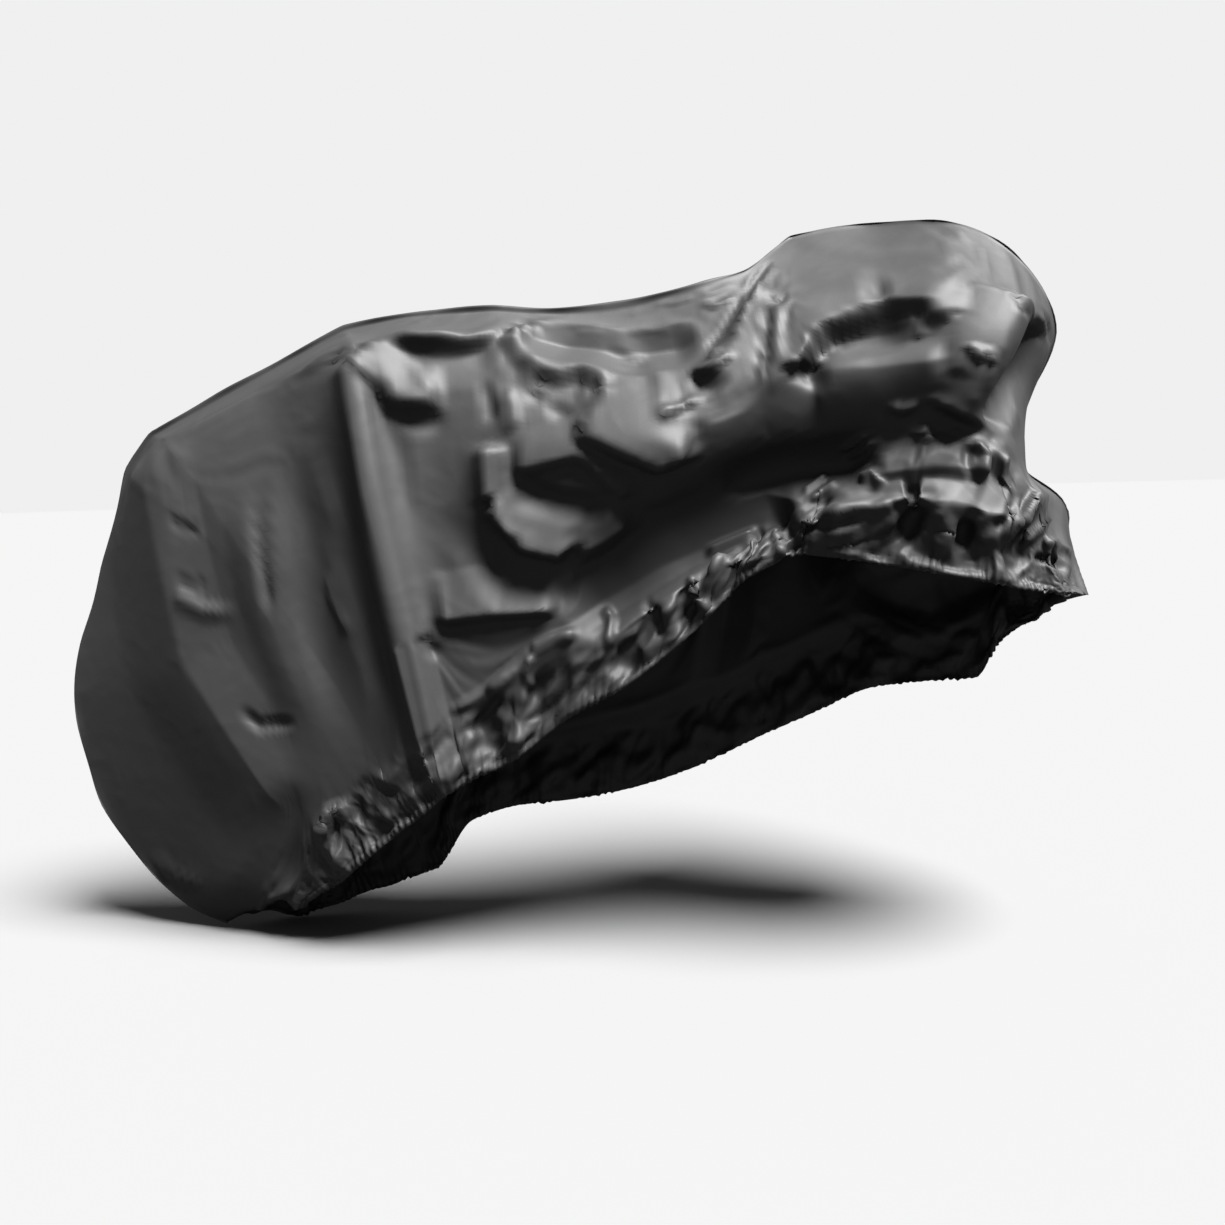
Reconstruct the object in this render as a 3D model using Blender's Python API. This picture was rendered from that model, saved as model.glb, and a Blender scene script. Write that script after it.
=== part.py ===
"""A bicycle cover as it hangs: two cut panels of thin coated cloth that meet in one centre seam.

Metres, +Z up, +X to the front and -Y to the right. The tables give places from a point on the floor under the
middle of the cover. The model's origin is under the cloth at its rear peak, where it is held up.
"""

from collections import namedtuple
import math

import bmesh
import bpy
import numpy as np

CLOTH = 0.002  # thickness of the coated cloth
HEM = 0.0036  # thickness of the turned hem round its elastic
HEM_WIDTH = 0.014
SEAM_GAP = 0.0003  # between the panels' cut edges
HELD_AT = (-0.3, 0.0, 0.916)  # under the rear peak, from the floor point
ROWS_ABOVE = 17  # rows of faces from the seam down to the gathered band
ROWS_GATHERED = 9  # and from there to the hem
GATHER_FROM = 0.72  # share of the way down at which the closer rows start
KNOTS = (0.0, 0.16, 0.42, 0.72, 1.0)  # where the five lines of a panel lie on the way down

# Where the centre seam runs: from the rear of the hem up the rear edge, over the peak, the dip and the crown,
# and down to the front of the hem. columns is how many columns of faces lead to the next station. soft is 0
# where the cloth bends in a sharp fold along the station, and 1 where it passes over smoothly.
Seam = namedtuple("Seam", "place x y z columns soft")
SEAM = (
    Seam("rear end of the hem", -0.622, 0.000, 0.010, 2, 1.0),
    Seam("first turn", -0.672, 0.000, 0.028, 2, 1.0),
    Seam("low on the rear edge", -0.745, 0.000, 0.091, 3, 1.0),
    Seam("lower rear edge", -0.827, 0.000, 0.219, 3, 1.0),
    Seam("rearmost place", -0.853, 0.000, 0.370, 3, 1.0),
    Seam("upper rear edge", -0.804, 0.000, 0.534, 3, 1.0),
    Seam("high on the rear edge", -0.736, 0.000, 0.716, 1, 0.6),
    Seam("rear corner", -0.698, 0.000, 0.764, 3, 0.3),
    Seam("rear ridge", -0.545, 0.000, 0.837, 3, 0.8),
    Seam("back of the peak", -0.385, 0.000, 0.909, 3, 0.2),
    Seam("middle of the peak", -0.270, 0.000, 0.925, 3, 0.9),
    Seam("front of the peak", -0.163, 0.000, 0.927, 3, 0.5),
    Seam("start of the dip", -0.064, 0.000, 0.920, 3, 1.0),
    Seam("middle of the dip", 0.030, 0.000, 0.925, 3, 1.0),
    Seam("end of the dip", 0.123, 0.000, 0.943, 3, 1.0),
    Seam("foot of the crown", 0.202, 0.030, 0.970, 3, 0.6),
    Seam("left shoulder of the crown", 0.262, 0.130, 1.030, 3, 0.3),
    Seam("middle of the crown", 0.360, 0.130, 1.042, 3, 1.0),
    Seam("front of the crown", 0.470, 0.050, 1.026, 3, 1.0),
    Seam("right shoulder of the crown", 0.562, 0.010, 0.972, 3, 1.0),
    Seam("below the crown", 0.616, 0.000, 0.862, 3, 1.0),
    Seam("waist", 0.556, 0.030, 0.712, 3, 1.0),
    Seam("chin", 0.640, 0.050, 0.618, 3, 1.0),
    Seam("front end of the hem", 0.648, 0.080, 0.491, 0, 1.0),
)

# At each station of the seam, the four lines below it: the shoulder, the middle, the low line and the hem.
Station = namedtuple("Station", "sx sy sz mx my mz lx ly lz hx hy hz")
RIGHT = (
    Station(-0.580, -0.020, 0.035, -0.550, -0.035, 0.045, -0.510, -0.045, 0.055, -0.475, -0.050, 0.055),
    Station(-0.575, -0.050, 0.090, -0.520, -0.060, 0.100, -0.470, -0.070, 0.100, -0.435, -0.075, 0.085),
    Station(-0.520, -0.075, 0.205, -0.460, -0.085, 0.215, -0.445, -0.090, 0.170, -0.400, -0.090, 0.105),
    Station(-0.565, -0.075, 0.300, -0.475, -0.090, 0.280, -0.415, -0.100, 0.215, -0.370, -0.100, 0.130),
    Station(-0.620, -0.070, 0.415, -0.505, -0.090, 0.375, -0.410, -0.105, 0.275, -0.340, -0.110, 0.155),
    Station(-0.635, -0.065, 0.530, -0.535, -0.085, 0.465, -0.415, -0.105, 0.340, -0.315, -0.115, 0.175),
    Station(-0.645, -0.055, 0.670, -0.535, -0.085, 0.565, -0.395, -0.105, 0.370, -0.290, -0.120, 0.195),
    Station(-0.660, -0.035, 0.750, -0.530, -0.085, 0.600, -0.385, -0.105, 0.390, -0.275, -0.120, 0.205),
    Station(-0.515, -0.035, 0.820, -0.425, -0.090, 0.635, -0.340, -0.115, 0.420, -0.250, -0.125, 0.225),
    Station(-0.350, -0.075, 0.880, -0.305, -0.125, 0.660, -0.265, -0.135, 0.470, -0.225, -0.130, 0.245),
    Station(-0.240, -0.068, 0.882, -0.220, -0.105, 0.660, -0.205, -0.112, 0.465, -0.190, -0.120, 0.265),
    Station(-0.145, -0.048, 0.888, -0.125, -0.112, 0.700, -0.130, -0.112, 0.495, -0.125, -0.115, 0.295),
    Station(-0.050, -0.035, 0.870, -0.025, -0.125, 0.710, -0.040, -0.110, 0.530, -0.045, -0.110, 0.355),
    Station(0.045, -0.040, 0.865, 0.070, -0.135, 0.730, 0.055, -0.090, 0.590, 0.030, -0.110, 0.395),
    Station(0.135, -0.040, 0.875, 0.165, -0.130, 0.755, 0.150, -0.080, 0.625, 0.120, -0.110, 0.465),
    Station(0.210, -0.050, 0.890, 0.230, -0.120, 0.780, 0.235, -0.080, 0.675, 0.200, -0.110, 0.540),
    Station(0.265, -0.060, 0.915, 0.295, -0.110, 0.790, 0.305, -0.090, 0.685, 0.270, -0.110, 0.575),
    Station(0.380, -0.075, 0.905, 0.385, -0.120, 0.800, 0.390, -0.110, 0.710, 0.355, -0.130, 0.565),
    Station(0.475, -0.110, 0.910, 0.470, -0.140, 0.820, 0.460, -0.120, 0.720, 0.440, -0.140, 0.550),
    Station(0.555, -0.090, 0.895, 0.530, -0.120, 0.820, 0.510, -0.110, 0.710, 0.515, -0.130, 0.535),
    Station(0.600, -0.040, 0.845, 0.560, -0.070, 0.785, 0.545, -0.090, 0.690, 0.555, -0.115, 0.525),
    Station(0.560, 0.000, 0.690, 0.575, -0.040, 0.650, 0.595, -0.080, 0.590, 0.585, -0.100, 0.520),
    Station(0.645, 0.020, 0.590, 0.652, -0.010, 0.562, 0.640, -0.045, 0.540, 0.605, -0.085, 0.518),
    Station(0.657, 0.055, 0.497, 0.662, 0.020, 0.503, 0.652, -0.022, 0.509, 0.625, -0.065, 0.515),
)
LEFT = (
    Station(-0.592, 0.020, 0.022, -0.570, 0.035, 0.018, -0.550, 0.045, 0.010, -0.525, 0.050, 0.005),
    Station(-0.634, 0.025, 0.045, -0.570, 0.055, 0.060, -0.515, 0.068, 0.040, -0.500, 0.070, 0.010),
    Station(-0.699, 0.025, 0.104, -0.600, 0.060, 0.130, -0.500, 0.080, 0.100, -0.470, 0.085, 0.015),
    Station(-0.771, 0.030, 0.226, -0.640, 0.065, 0.235, -0.490, 0.090, 0.190, -0.445, 0.095, 0.025),
    Station(-0.794, 0.030, 0.372, -0.640, 0.070, 0.360, -0.470, 0.095, 0.280, -0.415, 0.100, 0.035),
    Station(-0.750, 0.030, 0.526, -0.610, 0.070, 0.480, -0.450, 0.100, 0.340, -0.390, 0.105, 0.040),
    Station(-0.686, 0.030, 0.697, -0.570, 0.070, 0.585, -0.420, 0.100, 0.385, -0.365, 0.110, 0.050),
    Station(-0.655, 0.030, 0.740, -0.545, 0.070, 0.610, -0.410, 0.100, 0.390, -0.335, 0.110, 0.060),
    Station(-0.500, 0.040, 0.818, -0.440, 0.085, 0.640, -0.360, 0.110, 0.400, -0.310, 0.110, 0.070),
    Station(-0.355, 0.075, 0.880, -0.330, 0.115, 0.650, -0.300, 0.130, 0.420, -0.285, 0.110, 0.105),
    Station(-0.245, 0.060, 0.877, -0.240, 0.115, 0.650, -0.250, 0.125, 0.420, -0.256, 0.110, 0.145),
    Station(-0.145, 0.040, 0.885, -0.150, 0.120, 0.670, -0.170, 0.120, 0.440, -0.182, 0.110, 0.172),
    Station(-0.050, 0.050, 0.880, -0.050, 0.120, 0.680, -0.070, 0.115, 0.450, -0.085, 0.110, 0.184),
    Station(0.045, 0.060, 0.880, 0.040, 0.130, 0.700, 0.020, 0.110, 0.470, 0.000, 0.110, 0.201),
    Station(0.130, 0.080, 0.900, 0.120, 0.150, 0.730, 0.105, 0.115, 0.500, 0.097, 0.110, 0.233),
    Station(0.195, 0.140, 0.970, 0.190, 0.200, 0.780, 0.195, 0.140, 0.530, 0.206, 0.110, 0.285),
    Station(0.262, 0.220, 1.045, 0.255, 0.270, 0.820, 0.270, 0.180, 0.560, 0.304, 0.120, 0.327),
    Station(0.345, 0.235, 1.050, 0.345, 0.290, 0.830, 0.360, 0.200, 0.580, 0.379, 0.120, 0.359),
    Station(0.440, 0.150, 1.035, 0.450, 0.250, 0.830, 0.460, 0.200, 0.580, 0.458, 0.130, 0.366),
    Station(0.540, 0.110, 0.955, 0.540, 0.180, 0.800, 0.540, 0.200, 0.590, 0.528, 0.140, 0.369),
    Station(0.600, 0.070, 0.860, 0.575, 0.130, 0.770, 0.575, 0.190, 0.600, 0.560, 0.160, 0.411),
    Station(0.560, 0.080, 0.705, 0.585, 0.130, 0.660, 0.600, 0.180, 0.560, 0.580, 0.175, 0.428),
    Station(0.635, 0.090, 0.605, 0.640, 0.130, 0.560, 0.635, 0.168, 0.505, 0.602, 0.175, 0.444),
    Station(0.652, 0.100, 0.487, 0.652, 0.125, 0.480, 0.640, 0.152, 0.469, 0.618, 0.174, 0.455),
)

# The folds, as seen from the right side: each runs from (x0, z0) through (x1, z1) to (x2, z2). out is how far
# its crest stands out, or in where it is a hollow, and drop how far the crest hangs over what is below. left
# and right are its widths on the two sides of its run. crisp is 1 at a sharp crease and 0 at a round one.
# fade0 and fade1 are the shares of its length in which its ends run out.
Fold = namedtuple("Fold", "place x0 z0 x1 z1 x2 z2 out drop left right crisp fade0 fade1")
RIGHT_FOLDS = (
    Fold("peak to hem", -0.35, 0.865, -0.3, 0.58, -0.23, 0.24, 0.024, 0, 0.038, 0.034, 0.9, 0.04, 0.06),
    Fold("peak hollow", -0.37, 0.805, -0.35, 0.58, -0.295, 0.33, -0.01, 0, 0.04, 0.03, 0.1, 0.25, 0.25),
    Fold("peak groove", -0.315, 0.855, -0.29, 0.745, -0.265, 0.58, -0.01, 0, 0.018, 0.014, 0.6, 0.15, 0.6),
    Fold("rear turn", -0.695, 0.75, -0.625, 0.43, -0.465, 0.19, 0.017, 0, 0.08, 0.12, 0.95, 0.06, 0.12),
    Fold("rear ridge", -0.515, 0.71, -0.495, 0.525, -0.415, 0.315, 0.008, 0, 0.05, 0.05, 0.3, 0.3, 0.3),
    Fold("rear hollow", -0.445, 0.75, -0.415, 0.525, -0.365, 0.315, -0.008, 0, 0.05, 0.04, 0.1, 0.3, 0.3),
    Fold("peak flap", -0.35, 0.86, -0.28, 0.795, -0.22, 0.795, 0.02, 0, 0.055, 0.016, 1, 0.04, 0.1),
    Fold("flap pit", -0.29, 0.78, -0.255, 0.765, -0.205, 0.77, -0.006, 0, 0.018, 0.02, 0.5, 0.2, 0.3),
    Fold("side line", -0.305, 0.895, -0.185, 0.88, -0.13, 0.895, 0.01, 0, 0.018, 0.014, 0.9, 0.2, 0.2),
    Fold("side hollow", -0.3, 0.875, -0.21, 0.86, -0.14, 0.87, -0.01, 0, 0.016, 0.05, 0.8, 0.2, 0.2),
    Fold("seam hollow", -0.125, 0.89, 0.025, 0.86, 0.14, 0.87, -0.019, 0, 0.03, 0.04, 0.9, 0.12, 0.12),
    Fold("swag, high edge", -0.13, 0.89, -0.105, 0.855, -0.075, 0.82, 0.019, 0, 0.09, 0.018, 1, 0.08, 0.05),
    Fold("swag, middle edge", -0.075, 0.82, -0.015, 0.83, 0.015, 0.805, 0.019, 0, 0.08, 0.016, 1, 0.05, 0.05),
    Fold("swag, rear edge", 0.015, 0.805, 0.005, 0.775, -0.015, 0.745, 0.022, 0, 0.08, 0.016, 1, 0.05, 0.05),
    Fold("swag, rim", -0.015, 0.745, 0.085, 0.71, 0.135, 0.73, 0.032, 0.01, 0.13, 0.024, 0.95, 0.05, 0.08),
    Fold("pleat edge", 0.23, 0.94, 0.185, 0.845, 0.14, 0.82, 0.019, 0, 0.06, 0.016, 0.95, 0.08, 0.12),
    Fold("upper pocket", 0.13, 0.81, 0.155, 0.8, 0.18, 0.805, -0.01, 0, 0.014, 0.016, 0.4, 0.2, 0.2),
    Fold("lower pocket", 0.085, 0.755, 0.115, 0.745, 0.14, 0.75, -0.01, 0, 0.014, 0.016, 0.4, 0.2, 0.2),
    Fold("crown crease", 0.235, 0.92, 0.23, 0.845, 0.225, 0.775, -0.01, 0, 0.014, 0.034, 0.8, 0.15, 0.3),
    Fold("crown edge, rear", 0.255, 0.8, 0.305, 0.87, 0.385, 0.9, 0.016, 0, 0.07, 0.02, 1, 0.12, 0.04),
    Fold("crown front edge", 0.385, 0.9, 0.445, 0.895, 0.455, 0.86, 0.014, 0, 0.05, 0.02, 0.95, 0.05, 0.2),
    Fold("crown trough", 0.27, 0.79, 0.315, 0.85, 0.41, 0.87, -0.016, 0, 0.02, 0.024, 0.6, 0.12, 0.12),
    Fold("crown swag", 0.29, 0.815, 0.37, 0.81, 0.48, 0.815, 0.022, 0.006, 0.03, 0.045, 0.5, 0.12, 0.2),
    Fold("crown triangle", 0.495, 0.815, 0.48, 0.795, 0.46, 0.78, -0.012, 0, 0.02, 0.016, 0.6, 0.2, 0.3),
    Fold("shoulder edge", 0.57, 0.88, 0.53, 0.815, 0.49, 0.75, 0.017, 0, 0.03, 0.07, 1, 0.06, 0.12),
    Fold("shoulder groove", 0.585, 0.845, 0.555, 0.795, 0.52, 0.735, -0.013, 0, 0.034, 0.026, 0.6, 0.1, 0.2),
    Fold("small ridge", -0.13, 0.805, -0.125, 0.775, -0.12, 0.745, 0.006, 0, 0.014, 0.01, 0.9, 0.2, 0.2),
    Fold("U fold, rear", -0.155, 0.735, -0.155, 0.695, -0.15, 0.655, 0.022, 0, 0.045, 0.02, 1, 0.15, 0.05),
    Fold("U fold, base", -0.15, 0.655, -0.1, 0.6, -0.035, 0.585, 0.026, 0.01, 0.052, 0.02, 1, 0.05, 0.05),
    Fold("U fold, tip", -0.035, 0.585, 0, 0.6, 0.05, 0.64, 0.019, 0.004, 0.04, 0.024, 0.9, 0.05, 0.3),
    Fold("U fold, bowl", -0.105, 0.68, -0.055, 0.655, 0.02, 0.645, -0.012, 0, 0.024, 0.03, 0.3, 0.2, 0.25),
    Fold("U fold, brim", -0.115, 0.695, -0.015, 0.715, 0.05, 0.65, 0.016, 0, 0.055, 0.014, 1, 0.1, 0.15),
    Fold("long shade", -0.215, 0.66, -0.13, 0.54, 0.055, 0.515, -0.013, 0, 0.05, 0.04, 0.3, 0.3, 0.3),
    Fold("low bulge", -0.24, 0.495, -0.145, 0.505, -0.05, 0.51, 0.02, 0.004, 0.066, 0.016, 0.9, 0.12, 0.15),
    Fold("low pit", -0.25, 0.475, -0.24, 0.455, -0.22, 0.445, -0.009, 0, 0.016, 0.018, 0.5, 0.2, 0.4),
    Fold("low facet", -0.16, 0.385, -0.1, 0.44, -0.025, 0.475, 0.013, 0, 0.016, 0.04, 1, 0.12, 0.12),
    Fold("swag hollow", 0.06, 0.665, 0.22, 0.71, 0.375, 0.705, -0.024, 0, 0.06, 0.05, 0.1, 0.3, 0.3),
    Fold("bunch, top roll", 0.375, 0.675, 0.445, 0.685, 0.515, 0.685, 0.023, 0, 0.05, 0.016, 0.9, 0.15, 0.12),
    Fold("bunch, rear shelf", 0.255, 0.605, 0.37, 0.63, 0.42, 0.645, 0.024, 0, 0.05, 0.02, 1, 0.12, 0.04),
    Fold("bunch, front shelf", 0.42, 0.645, 0.485, 0.63, 0.545, 0.605, 0.024, 0, 0.05, 0.02, 1, 0.04, 0.06),
    Fold("bunch, shelf tip", 0.545, 0.605, 0.565, 0.63, 0.6, 0.65, 0.016, 0, 0.03, 0.03, 0.9, 0.1, 0.2),
    Fold("bunch, front", 0.51, 0.72, 0.545, 0.665, 0.55, 0.625, 0.013, 0, 0.035, 0.035, 0.8, 0.2, 0.2),
    Fold("puffed band", -0.08, 0.43, 0.095, 0.535, 0.27, 0.615, 0.017, 0, 0.03, 0.06, 0.2, 0.2, 0.2),
)
LEFT_FOLDS = (
    Fold("peak to hem", -0.345, 0.87, -0.315, 0.54, -0.29, 0.14, 0.022, 0, 0.07, 0.03, 0.8, 0.05, 0.12),
    Fold("peak groove", -0.375, 0.8, -0.36, 0.56, -0.33, 0.33, -0.013, 0, 0.022, 0.05, 0.3, 0.25, 0.3),
    Fold("rear turn, high", -0.655, 0.74, -0.64, 0.52, -0.62, 0.39, 0.01, 0, 0.06, 0.06, 0.6, 0.2, 0.1),
    Fold("rear turn, low", -0.62, 0.39, -0.56, 0.26, -0.47, 0.13, 0.01, 0, 0.05, 0.06, 0.6, 0.1, 0.3),
    Fold("rear side hollow", -0.5, 0.74, -0.48, 0.52, -0.41, 0.28, -0.012, 0, 0.055, 0.05, 0.2, 0.3, 0.3),
    Fold("peak side", -0.325, 0.865, -0.235, 0.862, -0.15, 0.878, -0.016, 0, 0.022, 0.04, 0.5, 0.15, 0.15),
    Fold("seam hollow", -0.13, 0.885, -0.01, 0.855, 0.12, 0.89, -0.022, 0, 0.032, 0.06, 0.3, 0.15, 0.2),
    Fold("long swag", -0.2, 0.8, -0.02, 0.69, 0.19, 0.83, 0.026, 0.014, 0.09, 0.04, 0.5, 0.25, 0.2),
    Fold("second swag", -0.18, 0.6, 0.01, 0.5, 0.21, 0.64, 0.024, 0.014, 0.08, 0.04, 0.5, 0.25, 0.2),
    Fold("crown to hem", 0.25, 1, 0.205, 0.7, 0.13, 0.33, 0.022, 0, 0.06, 0.035, 0.7, 0.1, 0.2),
    Fold("fold down the crown", 0.33, 0.99, 0.33, 0.74, 0.3, 0.48, 0.02, 0, 0.05, 0.04, 0.6, 0.15, 0.25),
    Fold("hollow in the crown", 0.29, 0.9, 0.275, 0.7, 0.245, 0.5, -0.018, 0, 0.03, 0.03, 0.2, 0.2, 0.3),
    Fold("crown swag", 0.36, 0.88, 0.46, 0.8, 0.56, 0.86, 0.024, 0.012, 0.04, 0.05, 0.4, 0.2, 0.2),
    Fold("fold over the chin", 0.42, 0.7, 0.5, 0.62, 0.61, 0.64, 0.024, 0.012, 0.06, 0.04, 0.5, 0.25, 0.2),
    Fold("slack over the chin", 0.33, 0.52, 0.47, 0.48, 0.61, 0.54, 0.022, 0.01, 0.05, 0.045, 0.3, 0.25, 0.2),
    Fold("puffed band", -0.23, 0.23, 0.03, 0.29, 0.42, 0.45, 0.018, 0, 0.05, 0.05, 0, 0.15, 0.15),
)
GATHER_BAND = 0.100  # height of the band that the hem's elastic draws into puffs
GATHER_PITCH = 0.105
GATHER_RISE = 0.009


def slopes(points, soft):
    """Tangents of a smooth line through points that never swings past them, times soft at each."""
    step = np.diff(points, axis=0)
    ahead, behind = step[1:], step[:-1]
    turned = ahead * behind <= 0
    total = np.where(turned, 1.0, ahead + behind)
    inner = np.where(turned, 0.0, 2 * ahead * behind / total)
    return np.concatenate([step[:1], inner, step[-1:]]) * soft


def along_stations(points, soft, spans):
    """The line through points at each of spans, (station, share of the way to the next)."""
    tangents = slopes(points, soft[:, None])
    at, share = spans[:, 0].astype(int), spans[:, 1:]
    square, cube = share**2, share**3
    return (
        (2 * cube - 3 * square + 1) * points[at]
        + (cube - 2 * square + share) * tangents[at]
        + (3 * square - 2 * cube) * points[at + 1]
        + (cube - square) * tangents[at + 1]
    )


def down_section(lines, down):
    """Points at the shares down between the five lines, as one smooth curve for every column."""
    knots = np.array(KNOTS)
    gap = np.diff(knots)
    rate = np.diff(lines, axis=0) / gap[:, None, None]
    behind, ahead = rate[:-1], rate[1:]
    turned = behind * ahead <= 0
    total = np.where(turned, 1.0, behind + ahead)
    inner = np.where(turned, 0.0, 2 * behind * ahead / total)
    tangent = np.concatenate([rate[:1], inner, rate[-1:]])
    at = np.clip(np.searchsorted(knots, down, side="right") - 1, 0, len(gap) - 1)
    width = gap[at][:, None, None]
    share = ((down - knots[at]) / gap[at])[:, None, None]
    square, cube = share**2, share**3
    return (
        (2 * cube - 3 * square + 1) * lines[at]
        + (cube - 2 * square + share) * tangent[at] * width
        + (3 * square - 2 * cube) * lines[at + 1]
        + (cube - square) * tangent[at + 1] * width
    )


def normals(grid, side):
    """Outward unit normals of a grid of points, rows down and columns along."""
    along = np.gradient(grid, axis=1)
    down = np.gradient(grid, axis=0)
    normal = np.cross(along, down) * side
    return normal / np.linalg.norm(normal, axis=2, keepdims=True)


def panel_grid(stations):
    """A panel's outer face as rows of points from the seam to the hem, without its folds."""
    spans = np.array(
        [(k, c / s.columns) for k, s in enumerate(SEAM[:-1]) for c in range(s.columns)]
        + [(len(SEAM) - 2, 1.0)]
    )
    soft = np.array([s.soft for s in SEAM])
    seam = np.array([(s.x, s.y, s.z) for s in SEAM])
    lower = np.array(stations).reshape(len(SEAM), 4, 3)
    lines = [along_stations(seam, soft, spans)]
    lines += [along_stations(lower[:, k], soft, spans) for k in range(4)]
    above = np.linspace(0, GATHER_FROM, ROWS_ABOVE + 1)
    gathered = np.linspace(GATHER_FROM, 1, ROWS_GATHERED + 1)[1:]
    return down_section(np.array(lines), np.concatenate([above, gathered]))


def ease(share):
    """0 to 1 with level ends."""
    share = np.clip(share, 0, 1)
    return share * share * (3 - 2 * share)


def fold_amount(places, fold):
    """How strongly a fold shows at each (x, z) of the side view, 1 at its crest."""
    corners = np.array(fold[1:7]).reshape(3, 2)
    step = np.diff(corners, axis=0)
    length = np.linalg.norm(step, axis=1)
    from_start = places[:, None] - corners[:-1]
    on = np.clip((from_start * step).sum(2) / length**2, 0, 1)
    away = from_start - on[..., None] * step
    distance = np.linalg.norm(away, axis=2)
    nearest = distance.argmin(1)
    pick = np.arange(len(places)), nearest
    turn = step[nearest, 0] * away[pick][:, 1] - step[nearest, 1] * away[pick][:, 0]
    off = np.clip(distance[pick] / np.where(turn > 0, fold.left, fold.right), 0, 1)
    along = (nearest * length[0] + on[pick] * length[nearest]) / length.sum()
    crest = fold.crisp * (1 - off) + (1 - fold.crisp) * (1 - off**2) ** 2
    return crest * ease(along / fold.fade0) * ease((1 - along) / fold.fade1)


def folded(grid, side, folds):
    """The grid with its folds raised along its normals. Where folds meet, the higher or deeper one shows."""
    normal = normals(grid, side).reshape(-1, 3)
    points = grid.reshape(-1, 3)
    places = points[:, [0, 2]]
    rise, sink, drop = np.zeros((3, len(points)))
    for fold in folds:
        amount = fold_amount(places, fold)
        rise = np.maximum(rise, fold.out * amount)
        sink = np.minimum(sink, fold.out * amount)
        drop = np.maximum(drop, fold.drop * amount)
    moved = points + normal * (rise + sink)[:, None]
    moved[:, 2] -= drop
    return moved.reshape(grid.shape)


def from_hem(grid):
    """How far every point lies above the hem, along the cloth."""
    drop = np.linalg.norm(np.diff(grid, axis=0), axis=2)
    return np.concatenate([np.cumsum(drop[::-1], axis=0)[::-1], np.zeros((1, grid.shape[1]))])


def gathered(grid, side):
    """The grid with uneven puffs over its hem, where the elastic draws the cloth in."""
    along = np.linalg.norm(np.diff(grid[-1], axis=0), axis=1)
    along = np.concatenate([[0], np.cumsum(along)]) * 2 * math.pi / GATHER_PITCH
    wave = np.sin(along + 1.3 * np.sin(along * 0.27) + side)
    height = from_hem(grid) / GATHER_BAND
    puff = np.where(height < 1, 4 * height * (1 - height), 0)
    return grid + normals(grid, side) * (GATHER_RISE * puff * wave)[..., None]


def sheet(name, grid, side, rim):
    """A closed sheet under a grid of outer points, with its cut edge along the seam on the plane of rim."""
    rows, columns = grid.shape[:2]
    inward = -normals(grid, side)
    inward[0] = rim
    thick = np.where(from_hem(grid) < HEM_WIDTH, HEM, CLOTH)[..., None]
    outer = grid - np.array(HELD_AT)
    inner = outer + inward * thick
    mesh = bmesh.new()
    top = [[mesh.verts.new(p) for p in row] for row in outer]
    under = [[mesh.verts.new(p) for p in row] for row in inner]

    def face(*corners):
        mesh.faces.new(corners if side < 0 else corners[::-1])

    for r in range(rows - 1):
        for c in range(columns - 1):
            face(top[r][c], top[r + 1][c], top[r + 1][c + 1], top[r][c + 1])
            face(under[r][c], under[r][c + 1], under[r + 1][c + 1], under[r + 1][c])
    for c in range(columns - 1):
        face(top[0][c], top[0][c + 1], under[0][c + 1], under[0][c])
        face(top[-1][c], under[-1][c], under[-1][c + 1], top[-1][c + 1])
    for r in range(rows - 1):
        face(top[r][0], under[r][0], under[r + 1][0], top[r + 1][0])
        face(top[r][-1], top[r + 1][-1], under[r + 1][-1], under[r][-1])
    data = bpy.data.meshes.new(name)
    mesh.to_mesh(data)
    mesh.free()
    data.shade_smooth()
    item = bpy.data.objects.new(name, data)
    bpy.context.scene.collection.objects.link(item)
    return item


def coated_cloth(name, colour, roughness):
    """The cover's black coated cloth."""
    material = bpy.data.materials.new(name)
    material.use_nodes = True
    shader = material.node_tree.nodes["Principled BSDF"]
    shader.inputs["Base Color"].default_value = (*colour, 1.0)
    shader.inputs["Roughness"].default_value = roughness
    shader.inputs["Metallic"].default_value = 0.0
    return material


def main():
    for item in list(bpy.data.objects):
        bpy.data.objects.remove(item, do_unlink=True)
    right = gathered(folded(panel_grid(RIGHT), -1, RIGHT_FOLDS), -1)
    left = gathered(folded(panel_grid(LEFT), 1, LEFT_FOLDS), 1)
    meeting = (right[0] + left[0]) / 2
    right[0], left[0] = meeting, meeting
    # The two cut edges face each other across the gap, on planes that halve the angle between the panels.
    tangent = np.gradient(right[0], axis=0)
    mean = normals(right, -1)[0] + normals(left, 1)[0]
    mean -= tangent * (mean * tangent).sum(1, keepdims=True) / (tangent**2).sum(1, keepdims=True)
    mean /= np.linalg.norm(mean, axis=1, keepdims=True)
    apart = np.cross(tangent, mean)
    apart *= SEAM_GAP / 2 / np.linalg.norm(apart, axis=1, keepdims=True)
    apart *= np.sign(apart[:, 1:2])
    right[0] -= apart
    left[0] += apart
    cloth = coated_cloth("black_coated_cloth", (0.018, 0.018, 0.02), 0.42)
    for name, grid, side in (("right_panel", right, -1), ("left_panel", left, 1)):
        item = sheet(name, grid, side, -mean)
        item.data.materials.append(cloth)


main()
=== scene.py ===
"""The looks of the bicycle cover: two cloth panels with gathered hems, and the seam between them."""

from collections import namedtuple
import math

import bmesh
import bpy
import numpy as np
from mathutils import Matrix, Vector


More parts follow.
